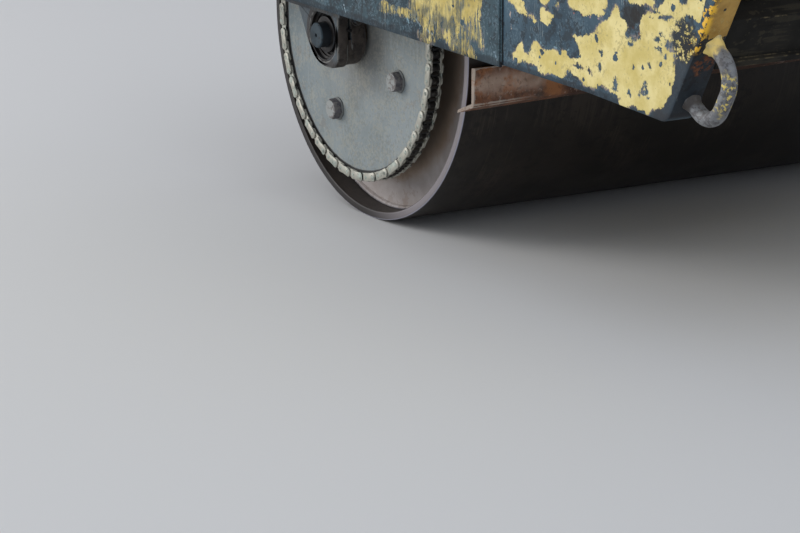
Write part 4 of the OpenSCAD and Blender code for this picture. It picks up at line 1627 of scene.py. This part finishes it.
TAIL_PATCHES = Patches(solid=[
    [1083, 233, 1093, 226, 1095, 216, 1110, 213, 1117, 204, 1115, 194, 1126, 186, 1145, 185,
     1153, 194, 1159, 200, 1161, 213, 1165, 227, 1175, 233, 1187, 231, 1206, 230, 1227, 232,
     1234, 224, 1225, 215, 1230, 209, 1242, 209, 1246, 204, 1235, 197, 1228, 186, 1249, 182,
     1257, 177, 1263, 165, 1260, 154, 1260, 143, 1253, 126, 1249, 109, 1237, 96, 1231, 81,
     1202, 76, 1188, 70, 1183, 61, 1174, 68, 1157, 67, 1142, 72, 1121, 63, 1102, 62, 1101, 68,
     1113, 72, 1108, 78, 1096, 80, 1083, 82, 1069, 79, 1054, 82, 1039, 87, 1024, 83, 1009, 78,
     989, 77, 974, 87, 958, 90, 939, 93, 928, 84, 913, 79, 897, 79, 877, 80, 861, 80, 851, 75,
     835, 75, 830, 85, 817, 87, 799, 85, 777, 83, 762, 80, 751, 82, 748, 92, 764, 99, 769, 111,
     776, 117, 782, 109, 785, 100, 804, 98, 806, 112, 816, 125, 829, 126, 843, 118, 861, 117,
     884, 122, 899, 118, 912, 123, 932, 128, 933, 118, 925, 115, 940, 114, 963, 121, 971, 123,
     968, 136, 958, 146, 947, 157, 962, 161, 985, 163, 1007, 171, 1026, 177, 1020, 187, 1032,
     192, 1051, 200, 1064, 209, 1067, 219, 1075, 230],
    [734, 191, 774, 196, 787, 183, 800, 173, 816, 173, 826, 162, 816, 161, 805, 169, 782, 170,
     766, 176, 753, 186],
    [842, 192, 851, 190, 847, 183, 865, 188, 882, 184, 875, 177, 868, 168, 854, 169, 840, 170,
     837, 180],
    [834, 215, 875, 222, 872, 209, 860, 201, 840, 201],
    [879, 210, 897, 208, 892, 203, 880, 204],
    [923, 235, 1045, 254, 1052, 229, 1031, 220, 1045, 214, 1032, 208, 1012, 208, 992, 204, 972,
     205, 952, 206, 936, 209, 930, 215],
    [1111, 265, 1204, 279, 1198, 262, 1204, 252, 1186, 249, 1172, 250, 1148, 250, 1124, 247],
    [1214, 247, 1224, 261, 1233, 269, 1270, 275, 1275, 267, 1303, 271, 1305, 281, 1349, 288,
     1346, 278, 1338, 261, 1331, 243, 1322, 247, 1315, 254, 1299, 253, 1276, 247, 1252, 246,
     1234, 245, 1220, 242],
    [1172, 240, 1216, 240, 1211, 235, 1182, 235],
    [720, 330, 900, 290, 1080, 305, 1230, 322, 1400, 350, 1412, 620, 720, 620],
], sparse=[
    [1229, 227, 1262, 240, 1318, 233, 1323, 202, 1296, 171, 1264, 179, 1235, 195, 1249, 208],
], holes=[
    [1077, 100, 1085, 105, 1094, 101, 1093, 92, 1087, 85, 1079, 86, 1081, 94],
    [1169, 114, 1175, 106, 1186, 93, 1180, 88, 1164, 89, 1155, 92, 1163, 101],
    [992, 111, 1008, 106, 1013, 99, 1001, 96, 994, 103],
    [1024, 119, 1039, 123, 1042, 115, 1031, 111],
    [1121, 176, 1135, 178, 1136, 172, 1126, 168],
    [936, 111, 960, 113, 987, 103, 963, 98, 943, 102],
    [922, 95, 934, 96, 936, 86, 926, 87],
    [818, 102, 832, 100, 850, 88, 846, 76, 836, 82, 825, 93],
])
DOUBLER_PATCHES = Patches(solid=[
    [394, 143, 648, 183, 642, 150, 639, 133, 625, 141, 620, 136, 597, 126, 570, 123, 547, 118,
     531, 111, 533, 104, 522, 104, 512, 110, 492, 105, 485, 98, 473, 103, 461, 107, 449, 109,
     429, 114, 410, 115, 394, 122],
    [481, 97, 518, 106, 531, 96, 547, 86, 562, 74, 551, 68, 535, 76, 522, 80, 510, 86, 491,
     91],
    [426, 73, 441, 79, 453, 72, 469, 78, 487, 78, 479, 69, 453, 67, 437, 69],
    [531, 110, 570, 110, 597, 108, 624, 108, 648, 106, 650, 90, 642, 89, 632, 102, 608, 101,
     582, 101, 555, 103],
    [572, 87, 589, 96, 607, 96, 603, 83, 617, 82, 621, 70, 627, 66, 601, 65, 575, 66, 570, 76],
    [-500, 330, -180, 300, 60, 335, 330, 300, 700, 340, 700, 600, -500, 600],
], sparse=[
    [282, 97, 290, 112, 305, 114, 317, 108, 341, 111, 357, 109, 373, 110, 406, 115, 423, 113,
     410, 107, 390, 108, 365, 103, 341, 104, 309, 100, 292, 97],
    [420, 108, 500, 112, 560, 120, 640, 140, 648, 108, 600, 96, 540, 88, 470, 84],
], holes=[])


@dataclass
class Chassis:
    """The chassis end: side members, doublers, cross-beams, panel and deck."""

    finishes: Finishes
    rim: float = 0.008
    web_y: float = 0.667
    corner_r: float = 0.035
    seam_x: float = 0.710
    beam_start: float = 0.1155
    beam_height: float = 0.100
    beam_back: float = -0.060

    def __post_init__(self) -> None:
        """Builds every piece of it."""
        self.side_member()
        self.doubler()
        self.tail()
        self.deck()
        self.carried_over()

    def face(self, z: Array, x_end: Array, step: float = 0.0065) -> Array:
        """Works out a face as rows of points, each from the rear end to the tail.

        Args:
            z: height of each row.
            x_end: where each row ends.
            step: distance between points of the longest row.

        Returns:
            x and z of the points, (rows, columns, 2).
        """
        start = PLAN.rear_x + self.rim
        u = np.linspace(0, 1, int((x_end.max() - start) / step) + 1)[None]
        x = start + u * (x_end[:, None] - start)
        return np.stack(np.broadcast_arrays(x, z[:, None]), -1)

    def framed(self, grid: Array, steps: Sequence[tuple[float, float, float]]) -> Shell:
        """Carries the rim of a face backwards in steps, and closes it behind.

        Args:
            grid: the face, (rows, columns, 2).
            steps: inset from the plate's own edge, y and wear for each ring, from the rim on.

        Returns:
            The shell.
        """
        rows, columns = grid.shape[:2]
        number = np.arange(rows * columns).reshape(rows, columns)
        rim = np.concatenate([number[0, :-1], number[:-1, -1], number[-1, :0:-1], number[:0:-1, 0]])
        flat = grid.reshape(-1, 2)
        rings = np.array([at_y(inset(flat[rim], depth - self.rim), y) for depth, y, _ in steps])
        wears = np.repeat(np.array([worn for _, _, worn in steps])[:, None], len(rim), 1)
        quads = np.stack([number[:-1, :-1], number[:-1, 1:], number[1:, 1:], number[1:, :-1]], -1)
        part = Shell().add(at_y(flat, steps[0][1]), quads.reshape(-1, 4).tolist())
        part.loft(rings, wears, capped=False)
        return part.add(rings[-1], [list(range(len(rim)))])

    def side_member(self) -> None:
        """Builds the channels with a leaning tail, their lower corner rounded.

        The face is drawn 8 mm inside the outline. Its row ends follow the rounded corner, then
        the lean, then stay at the furthest x, and a row's height is its share of the way from
        the lower edge to the top.
        """
        rim, lean = self.rim, PLAN.tail_lean
        drop = atan2(PLAN.side_z - PLAN.tail_z, PLAN.dip_length)
        centre = np.array([PLAN.tail_x, PLAN.tail_z]) + self.corner_r / (
            1 + sin(lean - drop)) * np.array([sin(drop) - cos(lean), cos(drop) + sin(lean)])
        bend = arc(centre, self.corner_r - rim, -90 - degrees(drop), -degrees(lean), 8)
        top = PLAN.side_top - rim
        z = np.append(np.arange(bend[-1, 1] + 0.0065, top - 0.004, 0.0065), top)
        leaning = PLAN.tail_x + (z - PLAN.tail_z) * tan(lean) - rim / cos(lean)
        x = np.append(bend[:, 0], np.minimum(leaning, PLAN.tail_top_x - rim))
        low = PLAN.low_edge(x) + rim
        grid = self.face((np.append(bend[:, 1], z) - low) / (top - low), x)
        low = PLAN.low_edge(grid[..., 0]) + rim
        grid[..., 1] = low + grid[..., 1] * (top - low)
        outer, edge, t = -PLAN.outer_y, -PLAN.side_y, PLAN.side_t
        steps = [(rim, outer, 0), (0.0028, outer, 1), (0.0009, outer + 0.0009, 1),
                 (0, outer + 0.0028, 1), (0, outer + 0.008, 0), (0, edge - 0.007, 0),
                 (0, edge - 0.001, 1), (0.001, edge, 1), (t - 0.001, edge, 1), (t, edge - 0.001, 1),
                 (t, edge - 0.007, 0), (t, -self.web_y, 0)]

        def paint(points: Array) -> Array:
            """Gives the depth in the patches outside, and a depth by height on the tail's end."""
            up = (points[:, Z] - PLAN.tail_z) / cos(lean)
            on_end = np.where(points[:, X] > PLAN.tail_x - 0.01,
                              np.minimum(up - 0.193, 0.12) * 0.6, -0.03)
            outside = np.abs(points[:, Y]) > PLAN.outer_y - 0.002
            return np.where(outside, TAIL_PATCHES.depth(points), on_end)

        self.framed(grid, steps).build_pair("side_channel_{}", self.finishes.side, "chassis_paint",
                                            "side_member_{}", paint=paint)

    def doubler(self) -> None:
        """Builds the plates over the drum, with a painted weld at their tail end."""
        low, high = cad_corners("doubler_drive")
        rim, front, back = self.rim, float(low[Y]), -PLAN.outer_y
        z = np.linspace(low[Z] + rim, high[Z] - rim, 75)
        steps = [(rim, front, 0), (0.002, front, 1), (0.0006, front + 0.0006, 1),
                 (0, front + 0.002, 1), (0, back, 0)]
        part = self.framed(self.face(z, np.full(len(z), self.seam_x - rim)), steps)
        bead = [[self.seam_x + 0.0005, back, height] for height in (z[0], z[-1] + 0.004)]
        part.weld(np.array(bead), 0.0042, 0.007, 5, (0, 1, 0))
        part.build_pair("cover_plate_{}", self.finishes.doubler, "chassis_paint", "doubler_{}",
                        paint=DOUBLER_PATCHES.depth)

    def tail(self) -> None:
        """Builds the channel across the tail with its lip, and the panel above it."""
        back, height, inner, lip, set_back = self.beam_back, self.beam_height, -0.018, 0.013, -0.006
        section = [(2 * MM, 0), (2 * MM, lip), (set_back, lip), (set_back, height), (back, height),
                   (back, height - 0.012), (inner, height - 0.012), (inner, lip), (back, lip),
                   (back, 0)]
        corners = [PLAN.on_tail(out, self.beam_start + up) for out, up in section]
        low = PLAN.on_tail(back + 0.008, self.beam_start + height)
        bend_z = PLAN.tail_z + (PLAN.tail_top_x - PLAN.tail_x) / tan(PLAN.tail_lean)
        bend_x, top = low[0] + (bend_z - low[1]) * tan(PLAN.tail_lean), PLAN.side_top
        sheet = [low, (bend_x, bend_z), (bend_x, top), (bend_x - 0.008, top),
                 (bend_x - 0.008, bend_z), PLAN.on_tail(back, self.beam_start + height)]
        beam, panel = (Shell().plate(np.array(line), -PLAN.side_y, 2 * PLAN.side_y, 0.001, 0.0015,
                                     0.002) for line in (corners, sheet))
        spots = [(bend_x, y, top - 0.05) for y in np.linspace(-0.54, 0.54, 7)]
        panel.bolts(spots, (1, 0, 0), 0.017, 0.008, 0.014)
        beam.build("tail_channel", self.finishes.shade, "inner_paint", ["tail_beam"])
        panel.build("tail_apron", self.finishes.shade, "inner_paint", ["tail_panel"])

    def deck(self, spacing: float = 0.035) -> None:
        """Builds the deck plate with raised bars in a checker pattern.

        Args:
            spacing: distance between the bars' centres.
        """
        low, high = cad_corners("tail_deck")
        top, foot = float(high[Z]) - 0.0014, float(low[Z])
        slab = Shell().plate(box_outline(low[X], high[X], low[Y], high[Y]), 0, top - foot, 0.0012,
                             0.004, 0.002)
        part = Shell().copies(slab, [(0, 0, foot)], np.array([[[1, 0, 0], [0, 0, 1], [0, 1, 0]]]))
        lens = polar(1, around(12)) * [0.0125, 0.0032]
        rings = [np.insert(lens * k, 2, h, axis=1)
                 for k, h in ((1, -0.0004), (0.82, 0.0009), (0.5, 0.0013))]
        bar = Shell().loft(np.array(rings), np.array([0, 0.6, 1])[:, None])
        count = ((high - low)[:2] - 0.036) // spacing + 1
        i, j = np.meshgrid(np.arange(count[0]), np.arange(count[1]), indexing="ij")
        spots = np.stack([low[X] + 0.018 + spacing * i, low[Y] + 0.018 + spacing * j,
                          np.full(i.shape, top)], -1).reshape(-1, 3)
        c = sqrt(0.5)
        turns = np.where(((i + j) % 2 == 0).reshape(-1, 1, 1),
                         [[[c, c, 0], [-c, c, 0], [0, 0, 1]]], [[[c, -c, 0], [c, c, 0], [0, 0, 1]]])
        part.copies(bar, spots, turns)
        part.build("deck_plate", self.finishes.deck, "chassis_paint", ["tail_deck"],
                   paint=lambda points: np.full(len(points), 0.01))

    def carried_over(self) -> None:
        """Gives the CAD nodes that stay in view rounded edges and a worn finish."""
        for node in ("rear_beam", "mount_flange", "mid_beam", "bridge", "motor_plate"):
            piece = frame["nodes"][node]
            piece.data.materials.clear()
            piece.data.materials.append(
                self.finishes.shade if node == "mid_beam" else self.finishes.frame)
            piece.modifiers.new("weld", "WELD").merge_threshold = 1e-5
            bevel = piece.modifiers.new("edges", "BEVEL")
            bevel.width, bevel.segments, bevel.limit_method = 0.0015, 2, "ANGLE"
            log.info("%s keeps its CAD shape", node)


@dataclass
class Scrapers:
    """A rusty angle on each side of the drum, held by arms.

    The rear one sits higher, and the front one's lower edge rises towards the plain side.
    """

    finishes: Finishes
    clear_r: float = 0.3867
    narrows: float = 0.027
    leg_t: float = 0.0062
    arm_y: float = 0.300
    arm_t: float = 0.012

    def __post_init__(self) -> None:
        """Builds each angle and its arms from the box of its CAD node."""
        for name in ("front", "rear"):
            low, high = cad_corners(f"scraper_{name}")
            face = float(np.abs([low[X], high[X]]).max())
            bottom, top = float(low[Z]), float(high[Z])
            blade = self.blade(face, bottom, top, self.narrows if name == "front" else 0)
            arms = self.arms(face, bottom + self.narrows + 0.014, top - 0.004)
            if name == "rear":
                blade, arms = blade.flipped(X), arms.flipped(X)
            for part, piece, node in ((blade, "scraper_blade_", "scraper_"),
                                      (arms, "scraper_arms_of_", "scraper_arms_")):
                part.build(piece + name, self.finishes.rust, "scraper_rust", [node + name])

    def blade(self, face: float, low: float, top: float, narrows: float) -> Shell:
        """Lofts the angle across the drum, slightly buckled, its lip longer than its leg.

        The section at a place is a mix of those at both ends, whose lips start on the circle of
        `clear_r` about the axle. Its points move by 0.4 mm sin(19 y + 11 z) along x, and the
        ends slant outwards down the leg and along the lip.

        Args:
            face: the far side of the leg, from the axle.
            low: lowest height, at the drive side.
            top: highest height.
            narrows: how much higher the lip stands at the plain side.

        Returns:
            The shell.
        """
        ends, inner = [], face - self.leg_t
        for foot in (low, low + narrows):
            tip, upper = (sqrt(self.clear_r**2 - z * z) for z in (foot, foot + self.leg_t))
            corners = np.array([[tip, foot + 0.0002], [face - 0.002, foot + 0.0138],
                                [face, foot + 0.019], [face, top], [inner, top],
                                [inner, foot + 0.0205], [upper, foot + 0.0066]])
            section, worn = rounded(corners, 0.0014, 0.003)
            ends.append(section)
        lip = PLAN.rim_y + 0.0197 - 0.013 * (section[:, 0] - face + 0.027) / 0.019
        leg = PLAN.rim_y - 0.0023 + 0.009 * (top - ends[0][:, 1]) / (top - low)
        reach = np.where(section[:, 0] > face - 0.0078, np.maximum(leg, lip), lip)
        u = np.linspace(-1, 1, 97)[:, None]
        y, share = u * reach, (u[..., None] + 1) / 2
        x, z = (ends[0] * (1 - share) + ends[1] * share).transpose(2, 0, 1)
        x = x - 0.0004 + 0.0004 * np.sin(19 * y + 11 * z)
        rims = (np.abs(u) > 0.995) * 1
        return Shell().loft(np.stack([x, y, z], -1), np.maximum(worn[None], rims))

    def arms(self, face: float, foot: float, high: float) -> Shell:
        """Builds two arms from the angle's back to the beam above it, each with two bolts.

        Args:
            face: the far side of the angle, from the axle.
            foot: lowest height of the arms.
            high: highest height on the angle.

        Returns:
            The shell.
        """
        back, top, half = face + 0.068, PLAN.side_z + PLAN.side_t, self.arm_t / 2
        high = min(high, top)
        corners = np.array([[face, foot], [face + 0.014, foot], [back, top - 0.046], [back, top],
                            [back - 0.032, top], [face, high]])
        part = Shell()
        for y in (-self.arm_y, self.arm_y):
            part.plate(corners, y - half, self.arm_t, 0.0012, 0.003, 0.004)
            spots = [(face + 0.014, y - half, foot + min(0.023, (high - foot) / 2)),
                     (back - 0.016, y - half, top - 0.023)]
            part.bolts(spots, (0, -1, 0), 0.015, 0.008, 0.012)
            seam = [[face + 0.001, y - half - 0.0005, z] for z in (foot + 0.003, high - 0.003)]
            part.weld(np.array(seam), 0.003, 0.005, 8)
            part.weld(np.array(seam) + [0, self.arm_t + 0.001, 0], 0.003, 0.005, 9)
        return part


@dataclass
class LashingRings:
    """A ring of bent bar on the end of each side member."""

    finishes: Finishes
    bar_r: float = 0.0139
    y: float = RING_Y
    bend: float = 0.048
    out: float = 0.074
    legs: tuple = (0.043, 0.169)

    def __post_init__(self) -> None:
        """Sweeps the bar out of the end face, up and back, and welds both legs on."""
        reach, (low, high) = self.out - self.bend, self.legs
        way = np.concatenate([[[0, low]], arc((reach, low + self.bend), self.bend, -90, 0, 15),
                              arc((reach, high - self.bend), self.bend, 0, 90, 15), [[0, high]]])
        bar = Shell().tube(at_y(np.array([PLAN.on_tail(*place) for place in way]), self.y),
                           self.bar_r, 28)
        self.fillet(bar, high, 0.0072, 0.020, 4)
        self.fillet(bar, low, 0.0045, 0.016, 7)
        bar.build_pair("ring_bar_{}", self.finishes.ring, "ring_paint", "lashing_ring_{}", sharp=50)

    def fillet(self, bar: Shell, up: float, flare: float, height: float, seed: int) -> None:
        """Adds the weld round one leg, which flares out towards the end face.

        Its radius at a height t from 0 to 1 is the bar's plus flare times (1 - t) to the power
        of 1.6, times a lumpy wave round the leg, and it stays on the face's width.

        Args:
            bar: the shell that it is added to.
            up: the leg's place up the end face.
            flare: how much wider it is at the face.
            height: how far it climbs the leg.
            seed: number that picks its lumps.
        """
        t, a = np.linspace(0, 1, 9)[:, None], around(36)[None]
        draw = np.random.default_rng(seed)
        lumps = sum(draw.normal(0, 0.16) * np.cos(k * a + draw.uniform(0, 6.3) + 1.5 * t)
                    for k in range(2, 9))
        radius = self.bar_r - 0.0004 + flare * (1 - t) ** 1.6 * (1 + lumps * (1 - t))
        across = np.minimum(radius * np.sin(a), -PLAN.side_y - self.y - 0.0006)
        x, z = PLAN.on_tail(t * height - 0.0006, up + radius * np.cos(a))
        bar.loft(np.stack([x, self.y + across, z], -1))


@dataclass
class SprayPipe:
    """The water pipe over the drum with its nozzles."""

    finishes: Finishes
    pipe_r: float = 0.0135
    bore_r: float = 0.0105
    nozzles: int = 9
    tilt: float = radians(35)

    def __post_init__(self) -> None:
        """Builds the pipe with its tees, and nozzles that point at the drum."""
        low, high = cad_corners("spray_pipe")
        r, n = self.pipe_r, self.nozzles
        x, z = float(high[X]) - r, float(high[Z]) - r
        pipe = Shell().turned(box_outline(self.bore_r, r, low[Y], high[Y]), 36, (x, 0, z),
                              edge=0.0008)
        tee = Shell().turned(box_outline(r - 0.001, 0.0165, -0.016, 0.016), 32, edge=0.0015)
        spots = [(x, y, z) for y in (np.arange(n) - (n - 1) / 2) * 2 * PLAN.rim_y / n]
        pipe.copies(tee, spots)
        pipe.build("water_pipe", self.finishes.pipe, "pipe_steel", ["spray_pipe"])
        section = mm(0, 25.5, 1.8, 25.5, 3, 23.5, 4.5, 22.5, 6, 20.5, 6, 12, 0, 12)
        tip = Shell().turned(section, 20, axis=(0, 0, 1), closed=False)
        tip.copies(hex_bolt(0.0125, 0.004), [(0, 0, 0.0155)])
        aim = facing((-sin(self.tilt), 0, -cos(self.tilt)))
        nozzles = Shell().copies(tip, spots, np.repeat(aim[None], n, 0))
        nozzles.build("spray_nozzles", self.finishes.brass, "pipe_steel")


class PhotoCamera:
    """The camera at the photograph's place, as found from its ellipses and edges."""

    target = (0, -0.550, 0)
    azimuth = radians(59.60837)
    elevation = radians(14.32818)
    roll = radians(-0.12080)
    distance = 7.93069
    shift = (0.061987, -0.470120)

    def __init__(self) -> None:
        """Sets a 180 mm lens on the line of sight, moved aside and turned by the roll."""
        a, e, r = self.azimuth, self.elevation, self.roll
        back = Vector((sin(a) * cos(e), -cos(a) * cos(e), sin(e)))
        right = Vector((cos(a), sin(a), 0))
        up = back.cross(right)
        side, top = right * cos(r) + up * sin(r), up * cos(r) - right * sin(r)
        place = Vector(AXLE) + Vector(self.target) + back * self.distance
        place += right * self.shift[0] + up * self.shift[1]
        data = bpy.data.cameras.new("photo_camera")
        data.lens, data.sensor_width, data.clip_end = 180, 36, 100
        camera = placed("photo_camera", data)
        turn = Matrix((side, top, back)).transposed().to_4x4()
        camera.matrix_world = Matrix.Translation(place) @ turn
        bpy.context.scene.camera = camera


class Studio:
    """A plain pale floor and soft light."""

    def __init__(self) -> None:
        """Sets the background, two large square lamps that look at the drum, and the floor."""
        scene = bpy.context.scene
        scene.view_settings.view_transform = "Standard"
        world = bpy.data.worlds.new("studio")
        scene.world = world
        world.use_nodes = True
        background = world.node_tree.nodes["Background"]
        background.inputs["Color"].default_value = (0.86, 0.9, 1, 1)
        background.inputs["Strength"].default_value = 0.62
        for name, place, size, power, colour in (
                ("key", (-3.3, -5, 1.7), 4, 215, (1, 0.97, 0.94)),
                ("fill", (4.2, -2.6, 3.4), 3.5, 40, (0.92, 0.96, 1))):
            data = bpy.data.lights.new(name, "AREA")
            data.size, data.energy, data.color = size, power, colour
            lamp, way = placed(name, data), Vector(AXLE) - Vector(place)
            lamp.location, lamp.rotation_euler = place, way.to_track_quat("-Z", "Y").to_euler()
        self.floor()

    @staticmethod
    def floor() -> None:
        """Lays the floor under the drum, its height taken from the drum's box."""
        mesh = bpy.data.meshes.new("floor")
        half, z = 30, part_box("drum_shell")[0].z - 0.0004
        mesh.from_pydata([(-half, -half, z), (half, -half, z), (half, half, z), (-half, half, z)],
                         [], [(0, 1, 2, 3)])
        material = bpy.data.materials.new("pale_floor")
        material.use_nodes = True
        shader = material.node_tree.nodes["Principled BSDF"]
        shader.inputs["Base Color"].default_value = linear((214, 214, 212))
        shader.inputs["Roughness"].default_value = 0.9
        mesh.materials.append(material)
        placed("floor", mesh)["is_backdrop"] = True


def main() -> None:
    """Builds the camera, the studio and every sub-assembly, and works out the two boxes."""
    logging.basicConfig(level=logging.INFO, format="%(message)s")
    PhotoCamera()
    Studio()
    finishes = Finishes()
    for sub_assembly in (Drum, ChainDrive, Bearings, Chassis, Scrapers, LashingRings, SprayPipe):
        log.info("building %s", sub_assembly.__name__)
        sub_assembly(finishes)
    boxes = {name: [list(corner) for corner in box]
             for name, box in (("cad", cad_box), ("visual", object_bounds()))}


if __name__ == "__main__":
    main()
